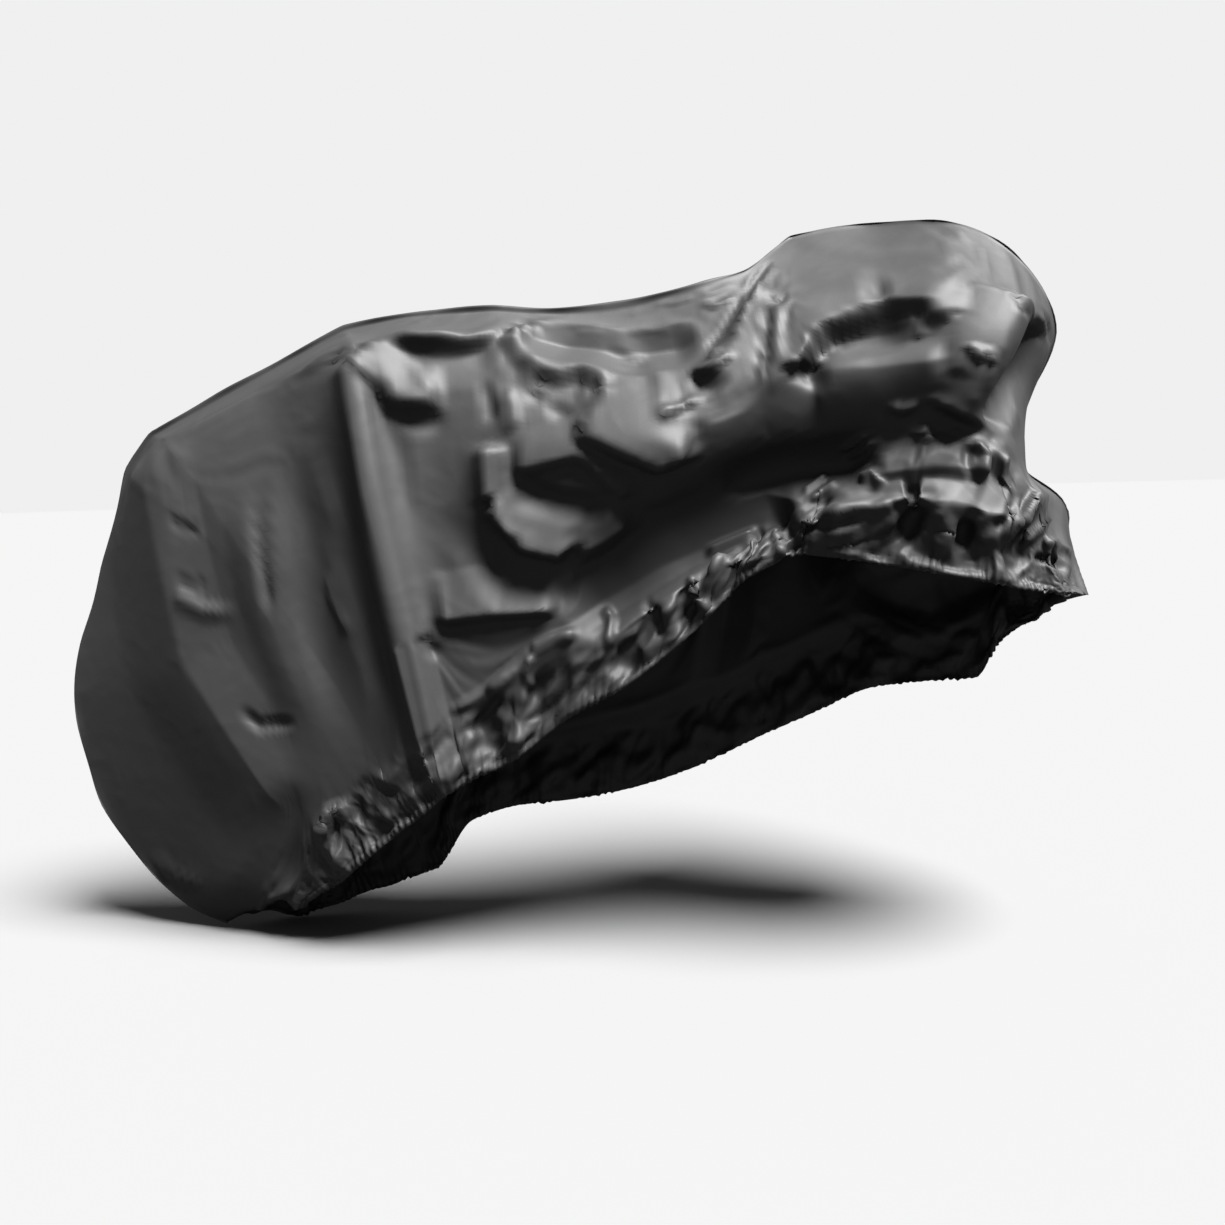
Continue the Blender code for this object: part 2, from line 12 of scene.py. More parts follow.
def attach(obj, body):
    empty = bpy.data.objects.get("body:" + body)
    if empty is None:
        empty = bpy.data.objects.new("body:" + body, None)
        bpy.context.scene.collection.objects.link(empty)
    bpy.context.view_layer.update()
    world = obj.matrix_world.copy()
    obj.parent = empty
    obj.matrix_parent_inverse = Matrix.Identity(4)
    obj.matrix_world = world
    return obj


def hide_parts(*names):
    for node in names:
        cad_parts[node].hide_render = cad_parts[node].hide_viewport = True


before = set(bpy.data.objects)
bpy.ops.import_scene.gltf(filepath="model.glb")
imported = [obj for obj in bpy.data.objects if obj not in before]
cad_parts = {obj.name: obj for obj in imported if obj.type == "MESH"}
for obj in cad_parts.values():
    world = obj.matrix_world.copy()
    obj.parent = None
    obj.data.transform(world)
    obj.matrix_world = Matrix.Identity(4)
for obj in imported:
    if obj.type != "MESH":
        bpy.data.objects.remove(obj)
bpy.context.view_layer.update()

bpy.ops.object.select_all(action="DESELECT")


# ---- Right panel -------------------------------------------------------------------------------------
# The near side of the cover: one cut piece of thin taffeta with a black coating, sewn to its twin along the
# centre seam. It hangs from the rear peak and the crown in long folds, and the elastic in its turned hem
# draws the lowest band into puffs.

HELD_AT = (-0.3, 0.0, 0.916)  # under the rear peak, from the floor point
FINER = 8  # columns of the cloth near its hem for each column of its solid; above there are half as many
ROWS_ABOVE = 88  # rows of faces from the seam down to the gathered band
ROWS_GATHERED = 46  # and from there to the hem
GATHER_FROM = 0.72  # share of the way down at which the closer rows start
KNOTS = (0.0, 0.16, 0.42, 0.72, 1.0)  # where the five lines of a panel lie on the way down
# Where the centre seam runs: from the rear of the hem up the rear edge, over the peak, the dip and the crown,
# and down to the front of the hem. columns is how many columns of faces lead to the next station. soft is 0
# where the cloth bends in a sharp fold along the station, and 1 where it passes over smoothly.
Seam = namedtuple("Seam", "place x y z columns soft")
SEAM = (
    Seam("rear end of the hem", -0.622, 0.000, 0.010, 2, 1.0),
    Seam("first turn", -0.672, 0.000, 0.028, 2, 1.0),
    Seam("low on the rear edge", -0.745, 0.000, 0.091, 3, 1.0),
    Seam("lower rear edge", -0.827, 0.000, 0.219, 3, 1.0),
    Seam("rearmost place", -0.853, 0.000, 0.370, 3, 1.0),
    Seam("upper rear edge", -0.804, 0.000, 0.534, 3, 1.0),
    Seam("high on the rear edge", -0.736, 0.000, 0.716, 1, 0.6),
    Seam("rear corner", -0.698, 0.000, 0.764, 3, 0.3),
    Seam("rear ridge", -0.545, 0.000, 0.837, 3, 0.8),
    Seam("back of the peak", -0.385, 0.000, 0.909, 3, 0.2),
    Seam("middle of the peak", -0.270, 0.000, 0.925, 3, 0.9),
    Seam("front of the peak", -0.163, 0.000, 0.927, 3, 0.5),
    Seam("start of the dip", -0.064, 0.000, 0.920, 3, 1.0),
    Seam("middle of the dip", 0.030, 0.000, 0.925, 3, 1.0),
    Seam("end of the dip", 0.123, 0.000, 0.943, 3, 1.0),
    Seam("foot of the crown", 0.202, 0.030, 0.970, 3, 0.6),
    Seam("left shoulder of the crown", 0.262, 0.130, 1.030, 3, 0.3),
    Seam("middle of the crown", 0.360, 0.130, 1.042, 3, 1.0),
    Seam("front of the crown", 0.470, 0.050, 1.026, 3, 1.0),
    Seam("right shoulder of the crown", 0.562, 0.010, 0.972, 3, 1.0),
    Seam("below the crown", 0.616, 0.000, 0.862, 3, 1.0),
    Seam("waist", 0.556, 0.030, 0.712, 3, 1.0),
    Seam("chin", 0.640, 0.050, 0.618, 3, 1.0),
    Seam("front end of the hem", 0.648, 0.080, 0.491, 0, 1.0),
)

# At each station of the seam, the four lines below it: the shoulder, the middle, the low line and the hem.
Station = namedtuple("Station", "sx sy sz mx my mz lx ly lz hx hy hz")
RIGHT = (
    Station(-0.580, -0.020, 0.035, -0.550, -0.035, 0.045, -0.510, -0.045, 0.055, -0.475, -0.050, 0.055),
    Station(-0.575, -0.050, 0.090, -0.520, -0.060, 0.100, -0.470, -0.070, 0.100, -0.435, -0.075, 0.085),
    Station(-0.520, -0.075, 0.205, -0.460, -0.085, 0.215, -0.445, -0.090, 0.170, -0.400, -0.090, 0.105),
    Station(-0.565, -0.075, 0.300, -0.475, -0.090, 0.280, -0.415, -0.100, 0.215, -0.370, -0.100, 0.130),
    Station(-0.620, -0.070, 0.415, -0.505, -0.090, 0.375, -0.410, -0.105, 0.275, -0.340, -0.110, 0.155),
    Station(-0.635, -0.065, 0.530, -0.535, -0.085, 0.465, -0.415, -0.105, 0.340, -0.315, -0.115, 0.175),
    Station(-0.645, -0.055, 0.670, -0.535, -0.085, 0.565, -0.395, -0.105, 0.370, -0.290, -0.120, 0.195),
    Station(-0.660, -0.035, 0.750, -0.530, -0.085, 0.600, -0.385, -0.105, 0.390, -0.275, -0.120, 0.205),
    Station(-0.515, -0.035, 0.820, -0.425, -0.090, 0.635, -0.340, -0.115, 0.420, -0.250, -0.125, 0.225),
    Station(-0.350, -0.075, 0.880, -0.305, -0.125, 0.660, -0.265, -0.135, 0.470, -0.225, -0.130, 0.245),
    Station(-0.240, -0.068, 0.882, -0.220, -0.105, 0.660, -0.205, -0.112, 0.465, -0.190, -0.120, 0.265),
    Station(-0.145, -0.048, 0.888, -0.125, -0.112, 0.700, -0.130, -0.112, 0.495, -0.125, -0.115, 0.295),
    Station(-0.050, -0.035, 0.870, -0.025, -0.125, 0.710, -0.040, -0.110, 0.530, -0.045, -0.110, 0.355),
    Station(0.045, -0.040, 0.865, 0.070, -0.135, 0.730, 0.055, -0.090, 0.590, 0.030, -0.110, 0.395),
    Station(0.135, -0.040, 0.875, 0.165, -0.130, 0.755, 0.150, -0.080, 0.625, 0.120, -0.110, 0.465),
    Station(0.210, -0.050, 0.890, 0.230, -0.120, 0.780, 0.235, -0.080, 0.675, 0.200, -0.110, 0.540),
    Station(0.265, -0.060, 0.915, 0.295, -0.110, 0.790, 0.305, -0.090, 0.685, 0.270, -0.110, 0.575),
    Station(0.380, -0.075, 0.905, 0.385, -0.120, 0.800, 0.390, -0.110, 0.710, 0.355, -0.130, 0.565),
    Station(0.475, -0.110, 0.910, 0.470, -0.140, 0.820, 0.460, -0.120, 0.720, 0.440, -0.140, 0.550),
    Station(0.555, -0.090, 0.895, 0.530, -0.120, 0.820, 0.510, -0.110, 0.710, 0.515, -0.130, 0.535),
    Station(0.600, -0.040, 0.845, 0.560, -0.070, 0.785, 0.545, -0.090, 0.690, 0.555, -0.115, 0.525),
    Station(0.560, 0.000, 0.690, 0.575, -0.040, 0.650, 0.595, -0.080, 0.590, 0.585, -0.100, 0.520),
    Station(0.645, 0.020, 0.590, 0.652, -0.010, 0.562, 0.640, -0.045, 0.540, 0.605, -0.085, 0.518),
    Station(0.657, 0.055, 0.497, 0.662, 0.020, 0.503, 0.652, -0.022, 0.509, 0.625, -0.065, 0.515),
)

# The folds, as seen from the right side: each runs from (x0, z0) through (x1, z1) to (x2, z2). out is how far
# its crest stands out, or in where it is a hollow, and drop how far the crest hangs over what is below. left
# and right are its widths on the two sides of its run. crisp is 1 at a sharp crease and 0 at a round one.
# fade0 and fade1 are the shares of its length in which its ends run out.
Fold = namedtuple("Fold", "place x0 z0 x1 z1 x2 z2 out drop left right crisp fade0 fade1")
RIGHT_FOLDS = (
    Fold("peak to hem", -0.35, 0.865, -0.3, 0.58, -0.23, 0.24, 0.024, 0, 0.038, 0.034, 0.9, 0.04, 0.06),
    Fold("peak hollow", -0.37, 0.805, -0.35, 0.58, -0.295, 0.33, -0.01, 0, 0.04, 0.03, 0.1, 0.25, 0.25),
    Fold("peak groove", -0.315, 0.855, -0.29, 0.745, -0.265, 0.58, -0.01, 0, 0.018, 0.014, 0.6, 0.15, 0.6),
    Fold("rear turn", -0.695, 0.75, -0.625, 0.43, -0.465, 0.19, 0.017, 0, 0.08, 0.12, 0.95, 0.06, 0.12),
    Fold("rear ridge", -0.515, 0.71, -0.495, 0.525, -0.415, 0.315, 0.008, 0, 0.05, 0.05, 0.3, 0.3, 0.3),
    Fold("rear hollow", -0.445, 0.75, -0.415, 0.525, -0.365, 0.315, -0.008, 0, 0.05, 0.04, 0.1, 0.3, 0.3),
    Fold("peak flap", -0.35, 0.86, -0.28, 0.795, -0.22, 0.795, 0.02, 0, 0.055, 0.016, 1, 0.04, 0.1),
    Fold("flap pit", -0.29, 0.78, -0.255, 0.765, -0.205, 0.77, -0.006, 0, 0.018, 0.02, 0.5, 0.2, 0.3),
    Fold("side line", -0.305, 0.895, -0.185, 0.88, -0.13, 0.895, 0.01, 0, 0.018, 0.014, 0.9, 0.2, 0.2),
    Fold("side hollow", -0.3, 0.875, -0.21, 0.86, -0.14, 0.87, -0.01, 0, 0.016, 0.05, 0.8, 0.2, 0.2),
    Fold("seam hollow", -0.125, 0.89, 0.025, 0.86, 0.14, 0.87, -0.019, 0, 0.03, 0.04, 0.9, 0.12, 0.12),
    Fold("swag, high edge", -0.13, 0.89, -0.105, 0.855, -0.075, 0.82, 0.019, 0, 0.09, 0.018, 1, 0.08, 0.05),
    Fold("swag, middle edge", -0.075, 0.82, -0.015, 0.83, 0.015, 0.805, 0.019, 0, 0.08, 0.016, 1, 0.05, 0.05),
    Fold("swag, rear edge", 0.015, 0.805, 0.005, 0.775, -0.015, 0.745, 0.022, 0, 0.08, 0.016, 1, 0.05, 0.05),
    Fold("swag, rim", -0.015, 0.745, 0.085, 0.71, 0.135, 0.73, 0.032, 0.01, 0.13, 0.024, 0.95, 0.05, 0.08),
    Fold("pleat edge", 0.23, 0.94, 0.185, 0.845, 0.14, 0.82, 0.019, 0, 0.06, 0.016, 0.95, 0.08, 0.12),
    Fold("upper pocket", 0.13, 0.81, 0.155, 0.8, 0.18, 0.805, -0.007, 0, 0.014, 0.016, 0.4, 0.2, 0.2),
    Fold("lower pocket", 0.085, 0.755, 0.115, 0.745, 0.14, 0.75, -0.007, 0, 0.014, 0.016, 0.4, 0.2, 0.2),
    Fold("crown crease", 0.235, 0.92, 0.23, 0.845, 0.225, 0.775, 0.014, 0, 0.05, 0.014, 0.9, 0.08, 0.3),
    Fold("crown edge, rear", 0.255, 0.8, 0.305, 0.87, 0.385, 0.9, 0.02, 0, 0.07, 0.018, 1, 0.12, 0.04),
    Fold("crown front edge", 0.385, 0.9, 0.445, 0.895, 0.455, 0.86, 0.018, 0, 0.05, 0.018, 0.95, 0.05, 0.2),
    Fold("crown trough", 0.275, 0.795, 0.315, 0.855, 0.41, 0.87, -0.014, 0, 0.018, 0.036, 0.8, 0.12, 0.12),
    Fold("crown swag", 0.29, 0.82, 0.37, 0.815, 0.48, 0.825, 0.018, 0.004, 0.03, 0.09, 0.6, 0.12, 0.2),
    Fold("crown triangle", 0.475, 0.81, 0.462, 0.79, 0.445, 0.775, -0.005, 0, 0.016, 0.014, 0.6, 0.2, 0.3),
    Fold("shoulder edge", 0.553, 0.895, 0.51, 0.82, 0.468, 0.745, 0.03, 0, 0.045, 0.07, 1, 0.05, 0.1),
    Fold("shoulder groove", 0.592, 0.875, 0.557, 0.805, 0.512, 0.735, -0.028, 0, 0.03, 0.034, 0.8, 0.1, 0.12),
    Fold("small ridge", -0.13, 0.805, -0.125, 0.775, -0.12, 0.745, 0.006, 0, 0.014, 0.01, 0.9, 0.2, 0.2),
    Fold("U fold, rear", -0.155, 0.735, -0.155, 0.695, -0.15, 0.655, 0.022, 0, 0.045, 0.02, 1, 0.15, 0.05),
    Fold("U fold, base", -0.15, 0.655, -0.1, 0.6, -0.035, 0.585, 0.026, 0.01, 0.052, 0.02, 1, 0.05, 0.05),
    Fold("U fold, tip", -0.035, 0.585, 0, 0.6, 0.05, 0.64, 0.019, 0.004, 0.04, 0.024, 0.9, 0.05, 0.3),
    Fold("U fold, bowl", -0.105, 0.68, -0.055, 0.655, 0.02, 0.645, -0.012, 0, 0.024, 0.03, 0.3, 0.2, 0.25),
    Fold("U fold, brim", -0.115, 0.695, -0.015, 0.715, 0.05, 0.65, 0.016, 0, 0.055, 0.014, 1, 0.1, 0.15),
    Fold("long shade", -0.215, 0.66, -0.13, 0.54, 0.055, 0.515, -0.013, 0, 0.05, 0.04, 0.3, 0.3, 0.3),
    Fold("low bulge", -0.24, 0.495, -0.145, 0.505, -0.05, 0.51, 0.02, 0.004, 0.066, 0.016, 0.9, 0.12, 0.15),
    Fold("low pit", -0.25, 0.475, -0.24, 0.455, -0.22, 0.445, -0.009, 0, 0.016, 0.018, 0.5, 0.2, 0.4),
    Fold("low facet", -0.16, 0.385, -0.1, 0.44, -0.025, 0.475, 0.013, 0, 0.016, 0.04, 1, 0.12, 0.12),
    Fold("swag hollow", 0.14, 0.65, 0.26, 0.685, 0.39, 0.705, -0.026, 0, 0.05, 0.045, 0.3, 0.25, 0.25),
    Fold("band hollow", -0.04, 0.46, 0.125, 0.56, 0.28, 0.635, -0.03, 0, 0.12, 0.022, 0.9, 0.2, 0.12),
    Fold("bunch, top roll", 0.365, 0.675, 0.445, 0.685, 0.52, 0.68, 0.018, 0, 0.055, 0.045, 0.8, 0.15, 0.12),
    Fold("bunch, rear shelf", 0.255, 0.605, 0.37, 0.63, 0.42, 0.645, 0.026, 0, 0.065, 0.032, 1, 0.12, 0.04),
    Fold("bunch, front shelf", 0.42, 0.645, 0.485, 0.63, 0.545, 0.605, 0.026, 0, 0.065, 0.032, 1, 0.04, 0.06),
    Fold("bunch, shelf tip", 0.545, 0.605, 0.565, 0.63, 0.6, 0.65, 0.016, 0, 0.03, 0.03, 0.9, 0.1, 0.2),
    Fold("bunch, front", 0.51, 0.72, 0.545, 0.665, 0.55, 0.625, 0.013, 0, 0.035, 0.035, 0.8, 0.2, 0.2),
    Fold("puffed band", -0.08, 0.43, 0.095, 0.535, 0.27, 0.615, 0.017, 0, 0.03, 0.06, 0.2, 0.2, 0.2),
)
# The small creases of the same cloth, too fine for its solid.
RIGHT_CREASES = (
    Fold("rear crease", -0.64, 0.535, -0.59, 0.51, -0.53, 0.505, 0.007, 0, 0.01, 0.022, 0.8, 0.15, 0.4),
    Fold("rear furrow", -0.64, 0.555, -0.605, 0.545, -0.575, 0.54, -0.004, 0, 0.008, 0.008, 0.6, 0.3, 0.4),
    Fold("rear nick, high", -0.655, 0.68, -0.635, 0.67, -0.615, 0.66, -0.004, 0, 0.006, 0.006, 0.7, 0.3, 0.3),
    Fold("low rear nick", -0.655, 0.645, -0.625, 0.635, -0.59, 0.615, -0.004, 0, 0.007, 0.007, 0.7, 0.3, 0.3),
    Fold("rear dent, long", -0.5, 0.71, -0.495, 0.625, -0.48, 0.495, -0.007, 0, 0.012, 0.018, 0.5, 0.4, 0.2),
    Fold("rear dent, low", -0.545, 0.365, -0.51, 0.34, -0.445, 0.345, -0.007, 0, 0.014, 0.012, 0.5, 0.3, 0.3),
    Fold("rear pleat", -0.395, 0.57, -0.385, 0.525, -0.355, 0.465, 0.006, 0, 0.008, 0.01, 0.8, 0.3, 0.3),
    Fold("rear hem tuck", -0.43, 0.175, -0.405, 0.215, -0.365, 0.23, 0.012, 0, 0.016, 0.02, 0.7, 0.2, 0.3),
    Fold("tail glint", -0.75, 0.125, -0.705, 0.09, -0.635, 0.075, 0.006, 0, 0.012, 0.012, 0.6, 0.3, 0.3),
    Fold("flap line", -0.29, 0.875, -0.255, 0.84, -0.22, 0.8, 0.004, 0, 0.006, 0.006, 0.8, 0.2, 0.2),
    Fold("peak nick, one", -0.385, 0.875, -0.41, 0.86, -0.435, 0.845, 0.005, 0, 0.008, 0.006, 0.8, 0.15, 0.4),
    Fold("peak nick, two", -0.37, 0.875, -0.38, 0.86, -0.395, 0.835, -0.006, 0, 0.006, 0.008, 0.7, 0.15, 0.4),
    Fold("peak crease", -0.295, 0.895, -0.25, 0.89, -0.185, 0.89, 0.006, 0, 0.008, 0.012, 0.8, 0.2, 0.4),
    Fold("slope dent", 0, 0.86, 0.06, 0.825, 0.09, 0.785, -0.005, 0, 0.02, 0.02, 0.2, 0.3, 0.3),
    Fold("upper pit", -0.16, 0.825, -0.15, 0.79, -0.145, 0.76, -0.007, 0, 0.014, 0.012, 0.4, 0.25, 0.25),
    Fold("upper rib", -0.125, 0.815, -0.115, 0.785, -0.11, 0.75, 0.005, 0, 0.012, 0.012, 0.7, 0.25, 0.25),
    Fold("middle pit, one", -0.095, 0.81, -0.085, 0.795, -0.08, 0.805, -0.006, 0, 0.01, 0.01, 0.3, 0.3, 0.3),
    Fold("middle pit, two", -0.065, 0.79, -0.05, 0.77, -0.03, 0.78, -0.007, 0, 0.014, 0.012, 0.3, 0.3, 0.3),
    Fold("middle rib", -0.01, 0.83, -0.015, 0.795, -0.02, 0.755, 0.004, 0, 0.01, 0.01, 0.8, 0.2, 0.3),
    Fold("upper pocket rim", 0.13, 0.82, 0.16, 0.825, 0.19, 0.845, 0.01, 0, 0.012, 0.008, 0.8, 0.15, 0.2),
    Fold("lower pocket rim", 0.09, 0.765, 0.115, 0.77, 0.145, 0.785, 0.01, 0, 0.012, 0.008, 0.8, 0.15, 0.2),
    Fold("pleat line, one", 0.21, 0.92, 0.18, 0.87, 0.15, 0.835, 0.006, 0, 0.006, 0.006, 0.9, 0.1, 0.2),
    Fold("pleat line, two", 0.195, 0.93, 0.17, 0.88, 0.145, 0.85, -0.006, 0, 0.006, 0.006, 0.8, 0.1, 0.2),
    Fold("pleat line, three", 0.24, 0.975, 0.22, 0.935, 0.205, 0.905, 0.008, 0, 0.008, 0.006, 0.9, 0.1, 0.3),
    Fold("pleat line, four", 0.23, 0.985, 0.21, 0.95, 0.195, 0.925, -0.006, 0, 0.007, 0.006, 0.8, 0.1, 0.3),
    Fold("seam crinkle, one", 0.14, 0.925, 0.16, 0.915, 0.19, 0.93, 0.006, 0, 0.006, 0.006, 0.9, 0.2, 0.2),
    Fold("seam crinkle, two", 0.125, 0.945, 0.15, 0.935, 0.185, 0.95, 0.005, 0, 0.006, 0.006, 0.9, 0.2, 0.2),
    Fold("seam crinkle, three", 0.065, 0.93, 0.1, 0.925, 0.135, 0.935, 0.005, 0, 0.006, 0.006, 0.9, 0.2, 0.2),
    Fold("crown notch", 0.23, 0.93, 0.245, 0.915, 0.26, 0.925, -0.008, 0, 0.01, 0.009, 0.4, 0.2, 0.2),
    Fold("crown line", 0.235, 0.92, 0.23, 0.845, 0.23, 0.775, -0.007, 0, 0.01, 0.014, 0.5, 0.15, 0.5),
    Fold("crown rib", 0.245, 0.91, 0.245, 0.845, 0.24, 0.78, 0.006, 0, 0.016, 0.012, 0.3, 0.2, 0.5),
    Fold("crown top line", 0.265, 1.02, 0.385, 0.98, 0.48, 0.975, 0.004, 0, 0.014, 0.02, 0.7, 0.2, 0.2),
    Fold("crown top turn", 0.48, 0.975, 0.5, 0.945, 0.455, 0.92, 0.005, 0, 0.012, 0.014, 0.8, 0.1, 0.3),
    Fold("top pleat, one", 0.45, 1.03, 0.475, 1.005, 0.49, 0.975, -0.005, 0, 0.007, 0.006, 0.8, 0.1, 0.3),
    Fold("top pleat, two", 0.475, 1.03, 0.495, 1.005, 0.505, 0.98, 0.006, 0, 0.006, 0.006, 0.9, 0.1, 0.3),
    Fold("top pleat, three", 0.495, 1.025, 0.515, 1.01, 0.52, 0.98, -0.005, 0, 0.006, 0.006, 0.8, 0.1, 0.3),
    Fold("crown trough tip", 0.42, 0.885, 0.43, 0.86, 0.43, 0.845, 0.006, 0, 0.01, 0.012, 0.8, 0.2, 0.3),
    Fold("crown pit", 0.255, 0.825, 0.27, 0.81, 0.29, 0.825, -0.008, 0, 0.012, 0.012, 0.3, 0.2, 0.2),
    Fold("crown pleat, one", 0.485, 0.84, 0.495, 0.825, 0.505, 0.815, 0.008, 0, 0.007, 0.007, 0.9, 0.2, 0.2),
    Fold("crown pleat, two", 0.5, 0.835, 0.51, 0.825, 0.515, 0.81, 0.007, 0, 0.006, 0.006, 0.9, 0.2, 0.2),
    Fold("shoulder nick 1", 0.545, 0.905, 0.555, 0.885, 0.56, 0.87, -0.007, 0, 0.008, 0.006, 0.6, 0.2, 0.2),
    Fold("shoulder nick 2", 0.595, 0.885, 0.605, 0.87, 0.61, 0.845, -0.007, 0, 0.007, 0.006, 0.6, 0.2, 0.2),
    Fold("hollow lump", 0.39, 0.77, 0.405, 0.76, 0.425, 0.77, 0.008, 0, 0.01, 0.012, 0.7, 0.2, 0.2),
    Fold("bunch lip, one", 0.42, 0.725, 0.435, 0.735, 0.44, 0.715, 0.01, 0, 0.01, 0.01, 0.8, 0.2, 0.2),
    Fold("bunch lip, two", 0.35, 0.67, 0.37, 0.68, 0.38, 0.66, 0.01, 0, 0.01, 0.01, 0.8, 0.2, 0.2),
    Fold("bunch line, one", 0.345, 0.655, 0.4, 0.655, 0.46, 0.65, -0.003, 0, 0.01, 0.01, 0.8, 0.2, 0.2),
    Fold("bunch line, two", 0.26, 0.6, 0.335, 0.605, 0.375, 0.625, 0.006, 0, 0.01, 0.014, 0.9, 0.15, 0.2),
    Fold("bunch nick, one", 0.495, 0.72, 0.51, 0.7, 0.505, 0.67, 0.01, 0, 0.008, 0.01, 0.9, 0.2, 0.2),
    Fold("bunch nick, two", 0.49, 0.715, 0.485, 0.69, 0.5, 0.66, -0.005, 0, 0.01, 0.01, 0.8, 0.2, 0.2),
    Fold("bunch nick, three", 0.535, 0.705, 0.53, 0.67, 0.545, 0.64, 0.01, 0, 0.01, 0.008, 0.9, 0.2, 0.2),
    Fold("bunch nick, four", 0.545, 0.64, 0.54, 0.62, 0.52, 0.605, -0.008, 0, 0.008, 0.01, 0.7, 0.2, 0.2),
    Fold("bunch nick, five", 0.585, 0.655, 0.565, 0.625, 0.55, 0.595, 0.01, 0, 0.01, 0.01, 0.9, 0.2, 0.3),
    Fold("bunch nick, six", 0.6, 0.62, 0.58, 0.6, 0.555, 0.58, 0.009, 0, 0.009, 0.009, 0.9, 0.2, 0.3),
    Fold("bunch facet, one", 0.425, 0.64, 0.41, 0.615, 0.405, 0.585, -0.005, 0, 0.018, 0.018, 0.8, 0.15, 0.3),
    Fold("bunch facet, two", 0.445, 0.635, 0.46, 0.61, 0.47, 0.585, 0.006, 0, 0.014, 0.014, 0.9, 0.2, 0.3),
    Fold("bunch facet, three", 0.49, 0.62, 0.48, 0.6, 0.485, 0.575, -0.005, 0, 0.016, 0.014, 0.8, 0.2, 0.3),
    Fold("nose roll, one", 0.585, 0.585, 0.61, 0.58, 0.64, 0.56, 0.01, 0, 0.01, 0.01, 0.8, 0.2, 0.2),
    Fold("nose roll, two", 0.57, 0.565, 0.6, 0.56, 0.63, 0.54, -0.008, 0, 0.009, 0.009, 0.6, 0.2, 0.2),
    Fold("patch crinkle, one", 0.33, 0.71, 0.345, 0.72, 0.365, 0.735, 0.007, 0, 0.006, 0.006, 0.9, 0.2, 0.2),
    Fold("patch crinkle, two", 0.34, 0.7, 0.355, 0.71, 0.375, 0.725, 0.007, 0, 0.006, 0.006, 0.9, 0.2, 0.2),
    Fold("patch crinkle 3", 0.275, 0.655, 0.29, 0.665, 0.31, 0.68, 0.007, 0, 0.006, 0.006, 0.9, 0.2, 0.2),
    Fold("patch crinkle, four", 0.285, 0.645, 0.3, 0.655, 0.325, 0.67, 0.007, 0, 0.006, 0.006, 0.9, 0.2, 0.2),
    Fold("band edge, one", -0.1, 0.45, -0.065, 0.465, -0.025, 0.475, 0.01, 0, 0.012, 0.01, 0.9, 0.15, 0.25),
    Fold("band edge, two", -0.095, 0.445, -0.105, 0.42, -0.1, 0.39, 0.008, 0, 0.01, 0.008, 0.9, 0.15, 0.3),
    Fold("band edge, three", 0, 0.505, 0.015, 0.485, 0.01, 0.45, 0.01, 0, 0.01, 0.01, 0.9, 0.2, 0.3),
    Fold("band edge, four", 0.055, 0.515, 0.075, 0.5, 0.085, 0.46, -0.009, 0, 0.01, 0.01, 0.7, 0.2, 0.3),
    Fold("band edge, five", 0.125, 0.55, 0.13, 0.525, 0.155, 0.49, 0.012, 0, 0.012, 0.01, 0.9, 0.15, 0.2),
    Fold("band edge, six", 0.14, 0.575, 0.18, 0.59, 0.22, 0.605, 0.012, 0, 0.012, 0.012, 0.8, 0.2, 0.2),
    Fold("band edge, seven", 0.22, 0.61, 0.21, 0.58, 0.195, 0.54, -0.01, 0, 0.012, 0.01, 0.6, 0.15, 0.2),
    Fold("band edge, eight", 0.235, 0.61, 0.245, 0.585, 0.255, 0.56, 0.009, 0, 0.01, 0.009, 0.9, 0.15, 0.2),
    Fold("low facet, one", -0.22, 0.36, -0.165, 0.39, -0.11, 0.435, 0.008, 0, 0.012, 0.016, 0.8, 0.2, 0.3),
    Fold("low facet, two", -0.19, 0.33, -0.16, 0.365, -0.135, 0.395, -0.008, 0, 0.01, 0.012, 0.6, 0.2, 0.3),
)
GATHER_BAND = 0.100  # height of the band that the hem's elastic draws into puffs
GATHER_PITCH = 0.105
GATHER_RISE = 0.009
CLOTH = 0.0006


def slopes(points, soft):
    """Tangents of a smooth line through points that never swings past them, times soft at each."""
    step = np.diff(points, axis=0)
    ahead, behind = step[1:], step[:-1]
    turned = ahead * behind <= 0
    total = np.where(turned, 1.0, ahead + behind)
    inner = np.where(turned, 0.0, 2 * ahead * behind / total)
    return np.concatenate([step[:1], inner, step[-1:]]) * soft


def along_stations(points, soft, spans):
    """The line through points at each of spans, (station, share of the way to the next)."""
    tangents = slopes(points, soft[:, None])
    at, share = spans[:, 0].astype(int), spans[:, 1:]
    square, cube = share**2, share**3
    return (
        (2 * cube - 3 * square + 1) * points[at]
        + (cube - 2 * square + share) * tangents[at]
        + (3 * square - 2 * cube) * points[at + 1]
        + (cube - square) * tangents[at + 1]
    )


def down_section(lines, down):
    """Points at the shares down between the five lines, as one smooth curve for every column."""
    knots = np.array(KNOTS)
    gap = np.diff(knots)
    rate = np.diff(lines, axis=0) / gap[:, None, None]
    behind, ahead = rate[:-1], rate[1:]
    turned = behind * ahead <= 0
    total = np.where(turned, 1.0, behind + ahead)
    inner = np.where(turned, 0.0, 2 * behind * ahead / total)
    tangent = np.concatenate([rate[:1], inner, rate[-1:]])
    at = np.clip(np.searchsorted(knots, down, side="right") - 1, 0, len(gap) - 1)
    width = gap[at][:, None, None]
    share = ((down - knots[at]) / gap[at])[:, None, None]
    square, cube = share**2, share**3
    return (
        (2 * cube - 3 * square + 1) * lines[at]
        + (cube - 2 * square + share) * tangent[at] * width
        + (3 * square - 2 * cube) * lines[at + 1]
        + (cube - square) * tangent[at + 1] * width
    )


